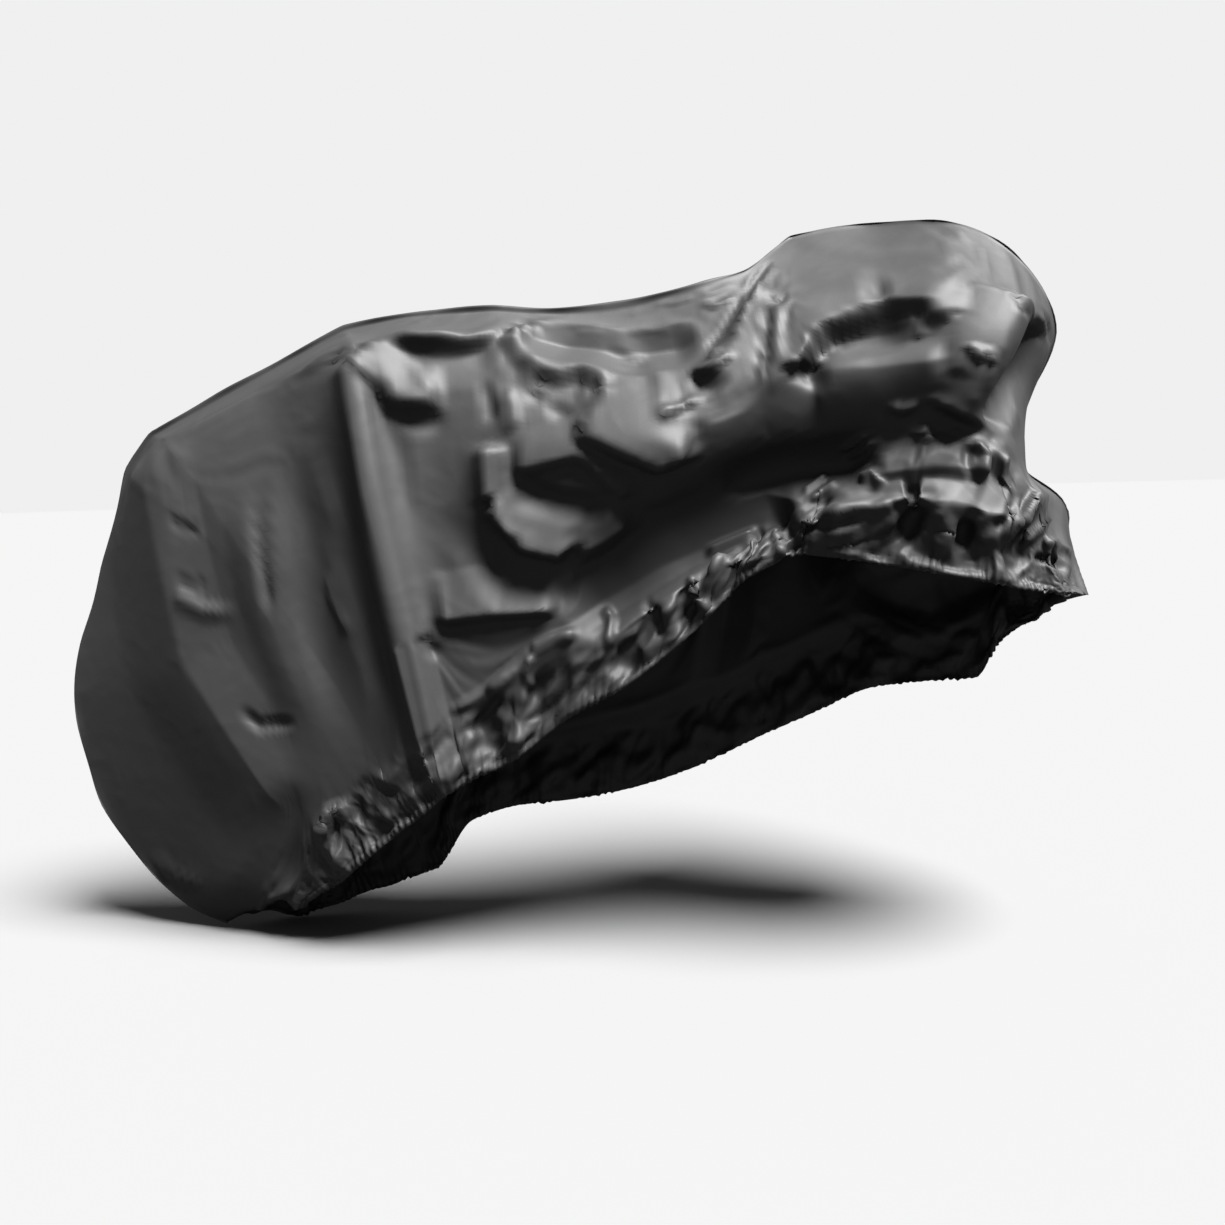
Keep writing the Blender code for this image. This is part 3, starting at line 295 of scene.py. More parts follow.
def normals(grid, side):
    """Outward unit normals of a grid of points, rows down and columns along."""
    along = np.gradient(grid, axis=1)
    down = np.gradient(grid, axis=0)
    normal = np.cross(along, down) * side
    return normal / np.linalg.norm(normal, axis=2, keepdims=True)


def panel_lines(stations):
    """The five lines of a panel, from its seam to its hem, at every column of the cloth."""
    spans = np.array(
        [(k, c / (s.columns * FINER)) for k, s in enumerate(SEAM[:-1]) for c in range(s.columns * FINER)]
        + [(len(SEAM) - 2, 1.0)]
    )
    soft = np.array([s.soft for s in SEAM])
    seam = np.array([(s.x, s.y, s.z) for s in SEAM])
    lower = np.array(stations).reshape(len(SEAM), 4, 3)
    lines = [along_stations(seam, soft, spans)]
    lines += [along_stations(lower[:, k], soft, spans) for k in range(4)]
    return np.array(lines)


def ease(share):
    """0 to 1 with level ends."""
    share = np.clip(share, 0, 1)
    return share * share * (3 - 2 * share)


def fold_amount(places, fold):
    """How strongly a fold shows at each (x, z) of the side view, 1 at its crest."""
    corners = np.array(fold[1:7]).reshape(3, 2)
    step = np.diff(corners, axis=0)
    length = np.linalg.norm(step, axis=1)
    from_start = places[:, None] - corners[:-1]
    on = np.clip((from_start * step).sum(2) / length**2, 0, 1)
    away = from_start - on[..., None] * step
    distance = np.linalg.norm(away, axis=2)
    nearest = distance.argmin(1)
    pick = np.arange(len(places)), nearest
    turn = step[nearest, 0] * away[pick][:, 1] - step[nearest, 1] * away[pick][:, 0]
    off = np.clip(distance[pick] / np.where(turn > 0, fold.left, fold.right), 0, 1)
    along = (nearest * length[0] + on[pick] * length[nearest]) / length.sum()
    crest = fold.crisp * (1 - off) + (1 - fold.crisp) * (1 - off**2) ** 2
    return crest * ease(along / fold.fade0) * ease((1 - along) / fold.fade1)


def from_seam(grid):
    """How far every point of the rows under the seam lies from it, along the cloth."""
    return np.cumsum(np.linalg.norm(np.diff(grid, axis=0), axis=2), axis=0)


def folded(grid, side, folds):
    """The grid with its folds raised along its normals. Where folds meet, the higher or deeper one shows."""
    normal = normals(grid, side).reshape(-1, 3)
    points = grid.reshape(-1, 3)
    places = points[:, [0, 2]]
    off_seam = ease(np.concatenate([np.zeros((1, grid.shape[1])), from_seam(grid)]) / 0.03).reshape(-1)
    rise, sink, drop = np.zeros((3, len(points)))
    for fold in folds:
        amount = fold_amount(places, fold) * off_seam
        rise = np.maximum(rise, fold.out * amount)
        sink = np.minimum(sink, fold.out * amount)
        drop = np.maximum(drop, fold.drop * amount)
    moved = points + normal * (rise + sink)[:, None]
    moved[:, 2] -= drop
    return moved.reshape(grid.shape)


def from_hem(grid):
    """How far every point lies above the hem, along the cloth."""
    drop = np.linalg.norm(np.diff(grid, axis=0), axis=2)
    return np.concatenate([np.cumsum(drop[::-1], axis=0)[::-1], np.zeros((1, grid.shape[1]))])


def gathered(grid, side):
    """The grid with uneven puffs over its hem, where the elastic draws the cloth in."""
    along = np.linalg.norm(np.diff(grid[-1], axis=0), axis=1)
    along = np.concatenate([[0], np.cumsum(along)]) * 2 * math.pi / GATHER_PITCH
    wave = np.sin(along + 1.3 * np.sin(along * 0.27) + side)
    height = from_hem(grid) / GATHER_BAND
    puff = np.where(height < 1, 4 * height * (1 - height), 0)
    return grid + normals(grid, side) * (GATHER_RISE * puff * wave)[..., None]


def plain_panel(stations):
    """A panel's outer points without its folds: rows from seam to hem, columns from rear to front."""
    above = np.linspace(0, GATHER_FROM, ROWS_ABOVE + 1)
    close = np.linspace(GATHER_FROM, 1, ROWS_GATHERED + 1)[1:]
    return down_section(panel_lines(stations), np.concatenate([above, close]))


def woven(name, grid, side, rows_above):
    """One skin of cloth over a grid of points, outer side out, with a UV map in metres along and down."""
    along = np.linalg.norm(np.diff(grid, axis=1), axis=2).mean(0)
    along = np.broadcast_to(np.concatenate([[0], np.cumsum(along)]), grid.shape[:2])
    down = np.concatenate([np.zeros((1, grid.shape[1])), from_seam(grid)])
    mesh = bmesh.new()
    uv = mesh.loops.layers.uv.new("cloth")
    rows = []
    place = {}
    for r in range(grid.shape[0]):
        step = 2 if r <= rows_above else 1
        row = []
        for c in range(0, grid.shape[1], step):
            vert = mesh.verts.new(grid[r, c])
            place[vert] = (along[r, c], down[r, c])
            row.append(vert)
        rows.append(row)
    for above, below in zip(rows[:-1], rows[1:]):
        closer = (len(below) - 1) // (len(above) - 1)
        for c in range(len(above) - 1):
            lower = below[closer * c : closer * (c + 1) + 1]
            ring = [above[c], *lower, above[c + 1]]
            face = mesh.faces.new(ring if side < 0 else ring[::-1])
            for loop in face.loops:
                loop[uv].uv = place[loop.vert]
    data = bpy.data.meshes.new(name)
    mesh.to_mesh(data)
    mesh.free()
    data.shade_smooth()
    cloth = bpy.data.objects.new(name, data)
    bpy.context.scene.collection.objects.link(cloth)
    return cloth


def per_point(values, rows_above):
    """Values of a full grid in the order of the cloth's points."""
    upper = values[: rows_above + 1, ::2]
    lower = values[rows_above + 1 :]
    return np.concatenate([part.reshape(-1, *values.shape[2:]) for part in (upper, lower)])


def closer_rows(values):
    """Nearly twice as many rows, the new ones on smooth lines through their neighbours."""
    before, after = 2 * values[:1] - values[1:2], 2 * values[-1:] - values[-2:-1]
    padded = np.concatenate([before, values, after])
    out = np.empty((2 * len(values) - 1, *values.shape[1:]))
    out[::2] = values
    out[1::2] = (9 * (padded[1:-2] + padded[2:-1]) - padded[:-3] - padded[3:]) / 16
    return out


def closer_columns(values):
    return closer_rows(values.swapaxes(0, 1)).swapaxes(0, 1)


def weighted(cloth, name, weights):
    """A vertex group with a weight of its own for each point."""
    group = cloth.vertex_groups.new(name=name)
    levels = np.round(weights, 2)
    for level in np.unique(levels):
        group.add(np.flatnonzero(levels == level).tolist(), float(level), "REPLACE")


def settled(grid, cut, side, held, slack, rows_above, frames):
    """The grid after its cloth, cut to other lengths, has sunk and buckled between its held places."""
    cloth = woven("settling", grid, side, rows_above)
    weighted(cloth, "held", per_point(held, rows_above))
    weighted(cloth, "slack", per_point(slack / MOST_SLACK, rows_above))
    cloth.shape_key_add(name="Basis")
    key = cloth.shape_key_add(name="cut")
    key.data.foreach_set("co", per_point(cut, rows_above).ravel())
    key.value = 0
    drape = cloth.modifiers.new("drape", "CLOTH")
    fabric = drape.settings
    fabric.quality = 4
    fabric.mass = 0.12
    fabric.air_damping = 2.0
    fabric.tension_stiffness = TENSION
    fabric.compression_stiffness = TENSION
    fabric.shear_stiffness = TENSION / 2
    fabric.bending_stiffness = BENDING
    fabric.tension_damping = 10
    fabric.compression_damping = 10
    fabric.shear_damping = 10
    fabric.bending_damping = 0.5
    fabric.rest_shape_key = key
    fabric.vertex_group_mass = "held"
    fabric.pin_stiffness = 1.0
    fabric.vertex_group_shrink = "slack"
    fabric.shrink_min = 0.0
    fabric.shrink_max = -MOST_SLACK
    fabric.effector_weights.gravity = WEIGHT
    drape.collision_settings.use_collision = False
    drape.point_cache.frame_start = 1
    drape.point_cache.frame_end = frames
    for number in range(1, frames + 1):
        bpy.context.scene.frame_set(number)
    after = cloth.evaluated_get(bpy.context.evaluated_depsgraph_get()).data
    points = np.empty(len(after.vertices) * 3)
    after.vertices.foreach_get("co", points)
    points = points.reshape(-1, 3)
    bpy.data.objects.remove(cloth, do_unlink=True)
    bpy.context.scene.frame_set(1)
    columns = grid.shape[1]
    split = (rows_above + 1) * (columns // 2 + 1)
    upper = closer_columns(points[:split].reshape(rows_above + 1, -1, 3))
    return np.concatenate([upper, points[split:].reshape(-1, columns, 3)])


def sunk(grid, plain, side, folds):
    """The folded panel settled in two steps, first its large folds and then its small ones."""
    height = from_hem(grid)
    places = plain.reshape(-1, 3)[:, [0, 2]]
    crest = np.zeros(len(places))
    for fold in folds:
        crest = np.maximum(crest, fold_amount(places, fold))
    crest = crest.reshape(height.shape)
    edge = np.zeros(height.shape, bool)
    edge[[0, -2, -1]] = True
    edge[:, [0, -1]] = True
    x, z = plain[..., 0], plain[..., 2]
    rear = ease((REAR_END - x) / 0.12)
    bunch = ease((x - 0.22) / 0.10) * ease((0.76 - z) / 0.06)
    loose = ease(1 - height / 0.13)
    held = HOLD + (HOLD_REAR - HOLD) * rear + HOLD_CREST * crest
    held = np.where(edge, 1.0, held * (1 - loose) + 0.03 * loose)
    slack = SLACK + (SLACK_REAR - SLACK) * rear + (SLACK_BUNCH - SLACK) * bunch * (1 - rear)
    slack = slack * (1 - loose) + MOST_SLACK * loose * ease(height / 0.012)
    slack = np.where(edge, 0.0, slack)
    half = (slice(None, None, 2), slice(None, None, 2))
    wide = settled(grid[half], plain[half], side, held[half], slack[half], ROWS_ABOVE // 2, FRAMES)
    moved = closer_columns(closer_rows(wide - grid[half]))
    return settled(grid + moved, plain, side, held, slack, ROWS_ABOVE, FINE_FRAMES)


def wander(along, pitch, spread, seed):
    """A phase that grows by a turn each pitch of the way along, now faster and now slower."""
    places = np.arange(0, 3.2, pitch * 2)
    drift = np.cumsum(np.random.default_rng(seed).normal(0, spread, len(places)))
    return 2 * math.pi * along / pitch + np.interp(along, places, drift)


def creased(places, pitch, seed):
    """Irregular sharp folds that cross each other, -1 to 1, at (along, height) places of the flat cloth."""
    rng = np.random.default_rng(seed)
    total = np.zeros(places.shape[:-1])
    for turn in (0.3, 1.25, 2.2, 2.9):
        way = np.array((math.cos(turn), math.sin(turn)))
        bend = np.zeros(total.shape)
        for _ in range(3):
            wave = rng.normal(0, 1.0 / pitch, 2)
            bend += np.sin(places @ wave + rng.uniform(0, 6.3)) * 0.22
        phase = places @ way / (pitch * rng.uniform(0.8, 1.3)) + bend + rng.uniform(0, 1)
        total += np.abs(phase % 1 - 0.5) * 4 - 1
    return total / 4


def crumpled(grid, side, seed):
    """The cloth crushed into small sharp facets over its gathered hem and where it is bunched in front."""
    height = from_hem(grid)
    hem = np.linalg.norm(np.diff(grid[-1], axis=0), axis=1)
    along = np.broadcast_to(np.concatenate([[0], np.cumsum(hem)]), grid.shape[:2])
    places = np.stack((along, height), axis=-1)
    x, z = grid[..., 0], grid[..., 2]
    band = ease(height / 0.012) * ease((BAND - height) / 0.03)
    bunch = ease((x - 0.28) / 0.08) * ease((0.74 - z) / 0.05) * ease(height / 0.012)
    rise = CRUMPLE_RISE * band * (creased(places, 0.052, seed) + 0.35 * creased(places, 0.034, seed + 1))
    rise += BUNCH_RISE * bunch * creased(places, 0.070, seed + 2)
    return grid + normals(grid, side) * rise[..., None]


def ruffled(grid, side, seed):
    """Fine pleats where the elastic draws the hem in, and the round of the turned hem over it."""
    height = from_hem(grid)
    hem = np.linalg.norm(np.diff(grid[-1], axis=0), axis=1)
    along = np.broadcast_to(np.concatenate([[0], np.cumsum(hem)]), grid.shape[:2])
    fine = np.sin(wander(along, PLEAT, 0.9, seed) + 12 * height)
    wide = np.sin(wander(along, PLEAT * 2.6, 1.0, seed + 1) - 20 * height)
    level = 0.65 + 0.35 * np.sin(wander(along, PLEAT * 9, 1.2, seed + 2))
    casing = np.clip(height / HEM_WIDTH, 0, 1)
    rise = level * PLEAT_RISE * (fine * np.exp(-height / 0.020) + 0.5 * wide * np.exp(-height / 0.045))
    rise += HEM_RISE * np.where(height < HEM_WIDTH, np.sqrt(np.clip(1 - (2 * casing - 1) ** 2, 0, 1)), 0)
    rise -= STITCH_DEPTH * np.exp(-(((height - HEM_WIDTH) / 0.0025) ** 2))
    return grid + normals(grid, side) * rise[..., None]


def with_allowance(grid, side):
    """The grid with the seam allowance added over its first row, a low fin that both panels share."""
    seam = grid[0]
    outward = np.cross(np.gradient(seam, axis=0), (0, 1, 0))
    outward /= np.linalg.norm(outward, axis=1, keepdims=True)
    along = np.concatenate([[0], np.cumsum(np.linalg.norm(np.diff(seam, axis=0), axis=1))])
    x, z = seam[:, 0], seam[:, 2]
    ridge = ease((x + 0.76) / 0.03) * ease((0.20 - x) / 0.06) * ease((z - 0.6) / 0.05)
    height = FIN_LOW + (FIN - FIN_LOW) * ridge * (0.85 + 0.15 * np.sin(wander(along, 0.19, 1.5, 7)))
    lean = FIN_LEAN * np.sin(wander(along, 0.13, 1.2, 5))
    rows = []
    for share in (1.0, 0.66, 0.33):
        row = seam + outward * (height * share)[:, None]
        row[:, 1] += lean * share * share
        rows.append(row)
    rows = np.concatenate([rows, grid])
    rows[:4, :, 1] += side * SEAM_GAP * 2
    return rows


def finished(cloth):
    """The skin given its thickness, with its object at the origin."""
    bpy.ops.object.select_all(action="DESELECT")
    cloth.select_set(True)
    bpy.context.view_layer.objects.active = cloth
    wall = cloth.modifiers.new("thickness", "SOLIDIFY")
    wall.thickness = CLOTH
    wall.offset = -1
    bpy.ops.object.modifier_apply(modifier=wall.name)
    cloth.data.shade_smooth()


def cloth_panel(name, stations, folds, creases, side, seed):
    """A whole panel: folded, settled, creased, pleated at its hem and given its thickness."""
    plain = plain_panel(stations)
    grid = gathered(folded(plain, side, folds), side)
    grid = crumpled(grid, side, seed)
    grid = sunk(grid, plain, side, folds)
    grid = ruffled(folded(grid, side, creases), side, seed)
    cloth = woven(name, with_allowance(grid, side) - np.array(HELD_AT), side, ROWS_ABOVE + 3)
    finished(cloth)
    return cloth


SEAM_GAP = 0.00035  # a quarter of the space between the two allowances
FIN = 0.009  # height of the seam allowance on the ridge
FIN_LOW = 0.002  # and elsewhere
FIN_LEAN = 0.0015
BAND = 0.105  # height of the crushed band over the hem
CRUMPLE_RISE = 0.012  # height of its facets
BUNCH_RISE = 0.006  # and of those where the cloth is bunched in front
MOST_SLACK = 0.28  # how much longer the cloth is than its hem where the elastic gathers it
TENSION = 40
BENDING = 0.1
WEIGHT = 0.4  # share of gravity
REAR_END = -0.26  # behind it the cloth is drawn tight
HOLD = 0.04  # how firmly the side is held to its folds, 0 to 1
HOLD_REAR = 0.25
HOLD_CREST = 0.8  # added on the crests
SLACK = 0.012  # how much longer the cloth is than the side it covers
SLACK_REAR = 0.003
SLACK_BUNCH = 0.06
FRAMES = 24  # of the first settling, on every second point
FINE_FRAMES = 10  # and of the second, on all of them
HEM_WIDTH = 0.014
PLEAT = 0.0105  # pitch of the fine pleats at the elastic
PLEAT_RISE = 0.0030
HEM_RISE = 0.0015
STITCH_DEPTH = 0.0012
right_cloth = cloth_panel("right_cloth", RIGHT, RIGHT_FOLDS, RIGHT_CREASES, -1, 4)


def crumple_group():
    """Fine creases of coated taffeta: a crumple height, a mask of rubbed ridges and a thread height."""
    group = bpy.data.node_groups.new("taffeta", "ShaderNodeTree")
    for label, default in (("Crumple size", 30.0), ("Thread size", 1600.0)):
        socket = group.interface.new_socket(label, in_out="INPUT", socket_type="NodeSocketFloat")
        socket.default_value = default
    for label in ("Crumple", "Ridges", "Threads"):
        group.interface.new_socket(label, in_out="OUTPUT", socket_type="NodeSocketFloat")
    nodes, links = group.nodes, group.links
    inputs = nodes.new("NodeGroupInput")
    outputs = nodes.new("NodeGroupOutput")
    place = nodes.new("ShaderNodeTexCoord")
    bend = nodes.new("ShaderNodeTexNoise")
    bend.inputs["Scale"].default_value = 7.0
    bend.inputs["Detail"].default_value = 2.0
    shift = nodes.new("ShaderNodeMix")
    shift.data_type = "VECTOR"
    shift.inputs["Factor"].default_value = 0.06
    links.new(place.outputs["Object"], bend.inputs["Vector"])
    links.new(place.outputs["Object"], shift.inputs["A"])
    links.new(bend.outputs["Color"], shift.inputs["B"])
    facets = nodes.new("ShaderNodeTexVoronoi")
    facets.feature = "F1"
    facets.distance = "EUCLIDEAN"
    links.new(shift.outputs["Result"], facets.inputs["Vector"])
    links.new(inputs.outputs["Crumple size"], facets.inputs["Scale"])
    small = nodes.new("ShaderNodeTexNoise")
    small.noise_type = "RIDGED_MULTIFRACTAL"
    small.inputs["Detail"].default_value = 4.0
    small.inputs["Roughness"].default_value = 0.45
    links.new(shift.outputs["Result"], small.inputs["Vector"])
    links.new(inputs.outputs["Crumple size"], small.inputs["Scale"])
    both = nodes.new("ShaderNodeMath")
    both.operation = "MULTIPLY_ADD"
    both.inputs[1].default_value = 0.5
    links.new(facets.outputs["Distance"], both.inputs[0])
    links.new(small.outputs["Fac"], both.inputs[2])
    links.new(both.outputs["Value"], outputs.inputs["Crumple"])
    links.new(small.outputs["Fac"], outputs.inputs["Ridges"])
    warp = nodes.new("ShaderNodeTexWave")
    warp.wave_type = "BANDS"
    warp.bands_direction = "X"
    weft = nodes.new("ShaderNodeTexWave")
    weft.wave_type = "BANDS"
    weft.bands_direction = "Y"
    for thread in (warp, weft):
        links.new(place.outputs["UV"], thread.inputs["Vector"])
        links.new(inputs.outputs["Thread size"], thread.inputs["Scale"])
    threads = nodes.new("ShaderNodeMath")
    threads.operation = "MAXIMUM"
    links.new(warp.outputs["Fac"], threads.inputs[0])
    links.new(weft.outputs["Fac"], threads.inputs[1])
    links.new(threads.outputs["Value"], outputs.inputs["Threads"])
    return group


def black_taffeta(name, crumple_depth):
    """Black coated taffeta: near black, half glossy, with fine creases and threads."""
    material = bpy.data.materials.new(name)
    material.use_nodes = True
    nodes, links = material.node_tree.nodes, material.node_tree.links
    shader = nodes["Principled BSDF"]
    shader.inputs["Specular IOR Level"].default_value = 0.2
    weave = nodes.new("ShaderNodeGroup")
    weave.node_tree = bpy.data.node_groups.get("taffeta") or crumple_group()
    place = nodes.new("ShaderNodeTexCoord")
    cloud = nodes.new("ShaderNodeTexNoise")
    cloud.inputs["Scale"].default_value = 5.0
    cloud.inputs["Detail"].default_value = 3.0
    links.new(place.outputs["Object"], cloud.inputs["Vector"])
    dye = nodes.new("ShaderNodeMix")
    dye.data_type = "RGBA"
    dye.inputs["A"].default_value = (0.0092, 0.0092, 0.0096, 1)
    dye.inputs["B"].default_value = (0.0132, 0.0132, 0.0136, 1)
    links.new(cloud.outputs["Fac"], dye.inputs["Factor"])
    links.new(dye.outputs["Result"], shader.inputs["Base Color"])
    gloss = nodes.new("ShaderNodeMapRange")
    gloss.inputs["To Min"].default_value = 0.60
    gloss.inputs["To Max"].default_value = 0.70
    links.new(weave.outputs["Ridges"], gloss.inputs["Value"])
    links.new(gloss.outputs["Result"], shader.inputs["Roughness"])
    creases = nodes.new("ShaderNodeBump")
    creases.inputs["Strength"].default_value = 0.35
    creases.inputs["Distance"].default_value = crumple_depth
    links.new(weave.outputs["Crumple"], creases.inputs["Height"])
    grain = nodes.new("ShaderNodeBump")
    grain.inputs["Strength"].default_value = 0.10
    grain.inputs["Distance"].default_value = 0.0001
    links.new(weave.outputs["Threads"], grain.inputs["Height"])
    links.new(creases.outputs["Normal"], grain.inputs["Normal"])
    links.new(grain.outputs["Normal"], shader.inputs["Normal"])
    return material


taffeta = black_taffeta("black_taffeta", 0.002)
right_cloth.data.materials.append(taffeta)
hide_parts("right_panel")
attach(right_cloth, "root")

# ---- Left panel --------------------------------------------------------------------------------------
# The far side, the right panel's twin. It hangs lower, because the left end of what it covers stands wide
# and pulls less cloth up, and its own hem shows from behind below the right one.

LEFT = (
    Station(-0.592, 0.020, 0.022, -0.570, 0.035, 0.018, -0.550, 0.045, 0.010, -0.525, 0.050, 0.005),
    Station(-0.634, 0.025, 0.045, -0.570, 0.055, 0.060, -0.515, 0.068, 0.040, -0.500, 0.070, 0.010),
    Station(-0.699, 0.025, 0.104, -0.600, 0.060, 0.130, -0.500, 0.080, 0.100, -0.470, 0.085, 0.015),
    Station(-0.771, 0.030, 0.226, -0.640, 0.065, 0.235, -0.490, 0.090, 0.190, -0.445, 0.095, 0.025),
    Station(-0.794, 0.030, 0.372, -0.640, 0.070, 0.360, -0.470, 0.095, 0.280, -0.415, 0.100, 0.035),
    Station(-0.750, 0.030, 0.526, -0.610, 0.070, 0.480, -0.450, 0.100, 0.340, -0.390, 0.105, 0.040),
    Station(-0.686, 0.030, 0.697, -0.570, 0.070, 0.585, -0.420, 0.100, 0.385, -0.365, 0.110, 0.050),
    Station(-0.655, 0.030, 0.740, -0.545, 0.070, 0.610, -0.410, 0.100, 0.390, -0.335, 0.110, 0.060),
    Station(-0.500, 0.040, 0.818, -0.440, 0.085, 0.640, -0.360, 0.110, 0.400, -0.310, 0.110, 0.070),
    Station(-0.355, 0.075, 0.880, -0.330, 0.115, 0.650, -0.300, 0.130, 0.420, -0.285, 0.110, 0.105),
    Station(-0.245, 0.060, 0.877, -0.240, 0.115, 0.650, -0.250, 0.125, 0.420, -0.256, 0.110, 0.145),
    Station(-0.145, 0.040, 0.885, -0.150, 0.120, 0.670, -0.170, 0.120, 0.440, -0.182, 0.110, 0.172),
    Station(-0.050, 0.050, 0.880, -0.050, 0.120, 0.680, -0.070, 0.115, 0.450, -0.085, 0.110, 0.184),
    Station(0.045, 0.060, 0.880, 0.040, 0.130, 0.700, 0.020, 0.110, 0.470, 0.000, 0.110, 0.201),
    Station(0.130, 0.080, 0.900, 0.120, 0.150, 0.730, 0.105, 0.115, 0.500, 0.097, 0.110, 0.233),
    Station(0.195, 0.140, 0.970, 0.190, 0.200, 0.780, 0.195, 0.140, 0.530, 0.206, 0.110, 0.285),
    Station(0.262, 0.220, 1.045, 0.255, 0.270, 0.820, 0.270, 0.180, 0.560, 0.304, 0.120, 0.327),
    Station(0.345, 0.235, 1.050, 0.345, 0.290, 0.830, 0.360, 0.200, 0.580, 0.379, 0.120, 0.359),
    Station(0.440, 0.150, 1.035, 0.450, 0.250, 0.830, 0.460, 0.200, 0.580, 0.458, 0.130, 0.366),
    Station(0.540, 0.110, 0.955, 0.540, 0.180, 0.800, 0.540, 0.200, 0.590, 0.528, 0.140, 0.369),
    Station(0.600, 0.070, 0.860, 0.575, 0.130, 0.770, 0.575, 0.190, 0.600, 0.560, 0.160, 0.411),
    Station(0.560, 0.080, 0.705, 0.585, 0.130, 0.660, 0.600, 0.180, 0.560, 0.580, 0.175, 0.428),
    Station(0.635, 0.090, 0.605, 0.640, 0.130, 0.560, 0.635, 0.168, 0.505, 0.602, 0.175, 0.444),
    Station(0.652, 0.100, 0.487, 0.652, 0.125, 0.480, 0.640, 0.152, 0.469, 0.618, 0.174, 0.455),
)
LEFT_FOLDS = (
    Fold("peak to hem", -0.345, 0.87, -0.315, 0.54, -0.29, 0.14, 0.022, 0, 0.07, 0.03, 0.8, 0.05, 0.12),
    Fold("peak groove", -0.375, 0.8, -0.36, 0.56, -0.33, 0.33, -0.013, 0, 0.022, 0.05, 0.3, 0.25, 0.3),
    Fold("rear turn, high", -0.655, 0.74, -0.64, 0.52, -0.62, 0.39, 0.01, 0, 0.06, 0.06, 0.6, 0.2, 0.1),
    Fold("rear turn, low", -0.62, 0.39, -0.56, 0.26, -0.47, 0.13, 0.01, 0, 0.05, 0.06, 0.6, 0.1, 0.3),
    Fold("rear side hollow", -0.5, 0.74, -0.48, 0.52, -0.41, 0.28, -0.012, 0, 0.055, 0.05, 0.2, 0.3, 0.3),
    Fold("peak side", -0.325, 0.865, -0.235, 0.862, -0.15, 0.878, -0.016, 0, 0.022, 0.04, 0.5, 0.15, 0.15),
    Fold("seam hollow", -0.13, 0.885, -0.01, 0.855, 0.12, 0.89, -0.022, 0, 0.032, 0.06, 0.3, 0.15, 0.2),
    Fold("long swag", -0.2, 0.8, -0.02, 0.69, 0.19, 0.83, 0.026, 0.014, 0.09, 0.04, 0.5, 0.25, 0.2),
    Fold("second swag", -0.18, 0.6, 0.01, 0.5, 0.21, 0.64, 0.024, 0.014, 0.08, 0.04, 0.5, 0.25, 0.2),
    Fold("crown to hem", 0.25, 1, 0.205, 0.7, 0.13, 0.33, 0.022, 0, 0.06, 0.035, 0.7, 0.1, 0.2),
    Fold("fold down the crown", 0.33, 0.99, 0.33, 0.74, 0.3, 0.48, 0.02, 0, 0.05, 0.04, 0.6, 0.15, 0.25),
    Fold("hollow in the crown", 0.29, 0.9, 0.275, 0.7, 0.245, 0.5, -0.018, 0, 0.03, 0.03, 0.2, 0.2, 0.3),
    Fold("crown swag", 0.36, 0.88, 0.46, 0.8, 0.56, 0.86, 0.024, 0.012, 0.04, 0.05, 0.4, 0.2, 0.2),
    Fold("fold over the chin", 0.42, 0.7, 0.5, 0.62, 0.61, 0.64, 0.024, 0.012, 0.06, 0.04, 0.5, 0.25, 0.2),
    Fold("slack over the chin", 0.33, 0.52, 0.47, 0.48, 0.61, 0.54, 0.022, 0.01, 0.05, 0.045, 0.3, 0.25, 0.2),
    Fold("puffed band", -0.23, 0.23, 0.03, 0.29, 0.42, 0.45, 0.018, 0, 0.05, 0.05, 0, 0.15, 0.15),
)
left_cloth = cloth_panel("left_cloth", LEFT, LEFT_FOLDS, (), 1, 9)
left_cloth.data.materials.append(taffeta)
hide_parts("left_panel")
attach(left_cloth, "root")

# ---- Camera ------------------------------------------------------------------------------------------
# Where the photograph was taken from: low on the right side and a little to the front, with a slight tilt.

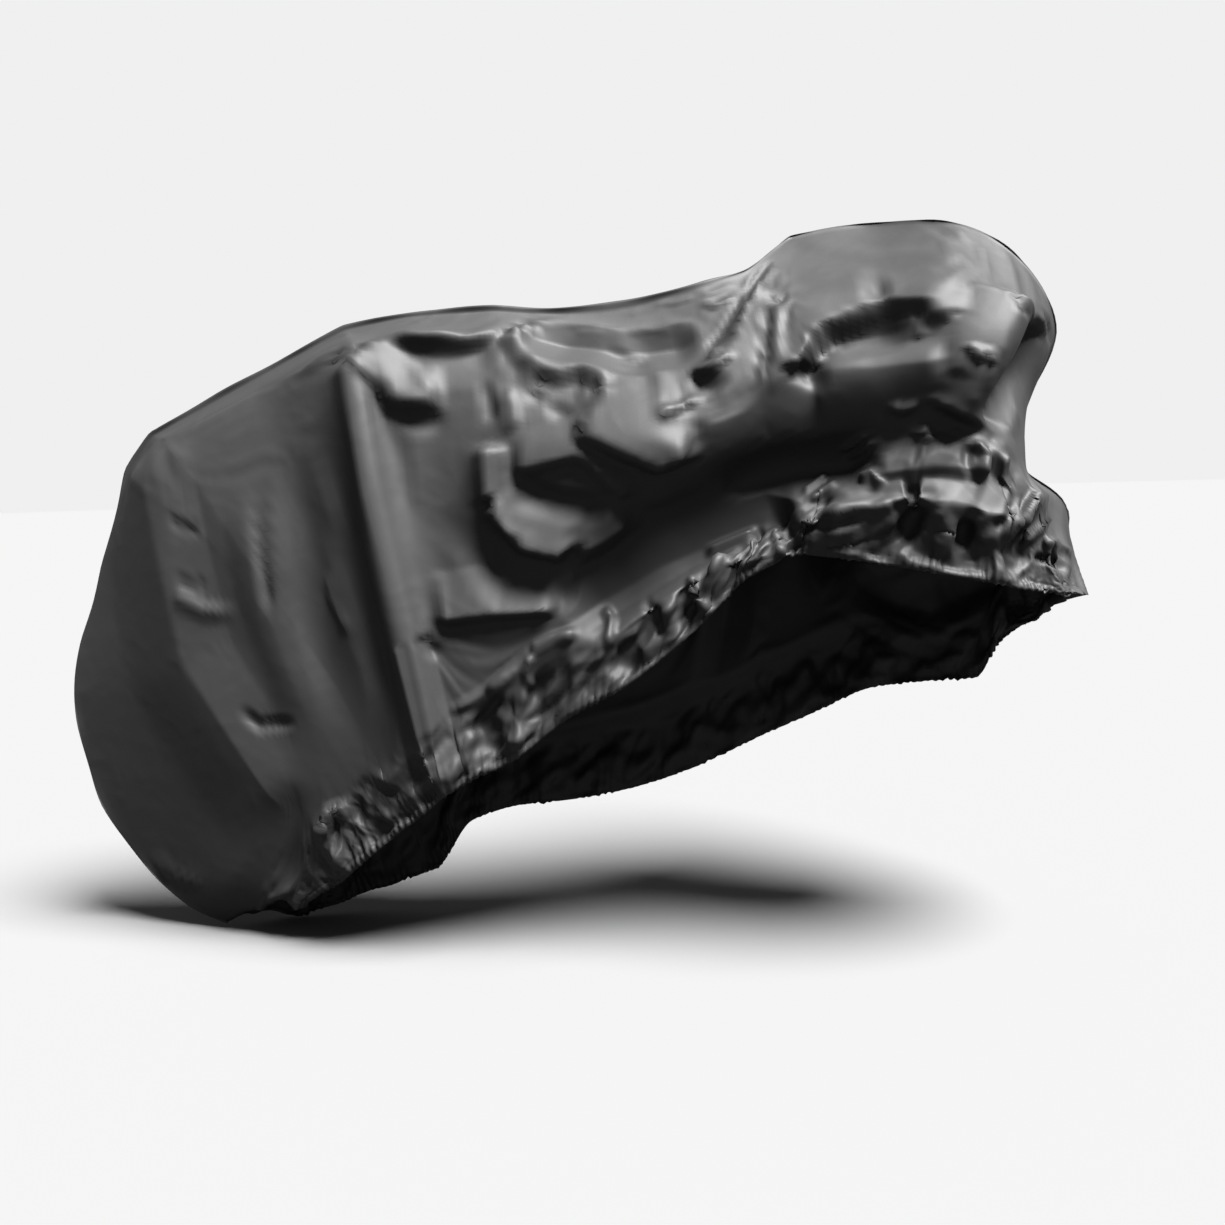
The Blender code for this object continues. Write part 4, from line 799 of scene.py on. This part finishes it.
LOOKED_AT = Vector((0.0, 0.0, 0.489)) - Vector(HELD_AT)
DISTANCE = 1.89
AZIMUTH = math.radians(8.8)
ELEVATION = math.radians(5.8)
TILT = math.radians(-1.6)
back = Vector((math.sin(AZIMUTH), -math.cos(AZIMUTH), 0)) * math.cos(ELEVATION)
back.z = math.sin(ELEVATION)
level = Vector((math.cos(AZIMUTH), math.sin(AZIMUTH), 0))
upright = back.cross(level)
across = level * math.cos(TILT) + upright * math.sin(TILT)
upward = upright * math.cos(TILT) - level * math.sin(TILT)
lens = bpy.data.cameras.new("camera")
lens.sensor_fit = "HORIZONTAL"
lens.sensor_width = 36
lens.lens = 38.2
camera = bpy.data.objects.new("camera", lens)
stand = Matrix((across, upward, back)).transposed().to_4x4()
stand.translation = LOOKED_AT + back * DISTANCE
camera.matrix_world = stand
bpy.context.scene.collection.objects.link(camera)
bpy.context.scene.camera = camera

# ---- Floor and light ---------------------------------------------------------------------------------
# A plain floor that shows pale under a strong soft light, high in front and a little to the right, as in the
# photograph, with a weak even light from all round.

FLOOR = -HELD_AT[2]
bpy.ops.mesh.primitive_circle_add(vertices=96, radius=60, fill_type="NGON", location=(0.3, 0, FLOOR))
floor = bpy.context.active_object
floor.name = "floor"
pale = bpy.data.materials.new("pale_floor")
pale.use_nodes = True
seen = pale.node_tree.nodes.new("ShaderNodeLightPath")
tone = pale.node_tree.nodes.new("ShaderNodeMapRange")
tone.inputs["To Min"].default_value = 0.038
tone.inputs["To Max"].default_value = 0.085
pale.node_tree.links.new(seen.outputs["Is Camera Ray"], tone.inputs["Value"])
pale.node_tree.links.new(tone.outputs["Result"], pale.node_tree.nodes["Principled BSDF"].inputs["Base Color"])
pale.node_tree.nodes["Principled BSDF"].inputs["Roughness"].default_value = 0.9
pale.node_tree.nodes["Principled BSDF"].inputs["Specular IOR Level"].default_value = 0.0
floor.data.materials.append(pale)

LIGHT_FROM = Vector((0.38, -0.26, 0.89))
light = bpy.data.lights.new("high_light", "SUN")
light.energy = 37.0
light.angle = math.radians(30)
lamp = bpy.data.objects.new("high_light", light)
lamp.rotation_euler = LIGHT_FROM.to_track_quat("Z", "Y").to_euler()
bpy.context.scene.collection.objects.link(lamp)
world = bpy.data.worlds.new("studio")
bpy.context.scene.world = world
world.use_nodes = True
nodes, links = world.node_tree.nodes, world.node_tree.links
rays = nodes.new("ShaderNodeLightPath")
strength = nodes.new("ShaderNodeMapRange")
strength.inputs["To Min"].default_value = 0.35
strength.inputs["To Max"].default_value = 0.87
links.new(rays.outputs["Is Camera Ray"], strength.inputs["Value"])
links.new(strength.outputs["Result"], nodes["Background"].inputs["Strength"])
nodes["Background"].inputs["Color"].default_value = (1, 1, 1, 1)
bpy.context.scene.view_settings.view_transform = "Standard"
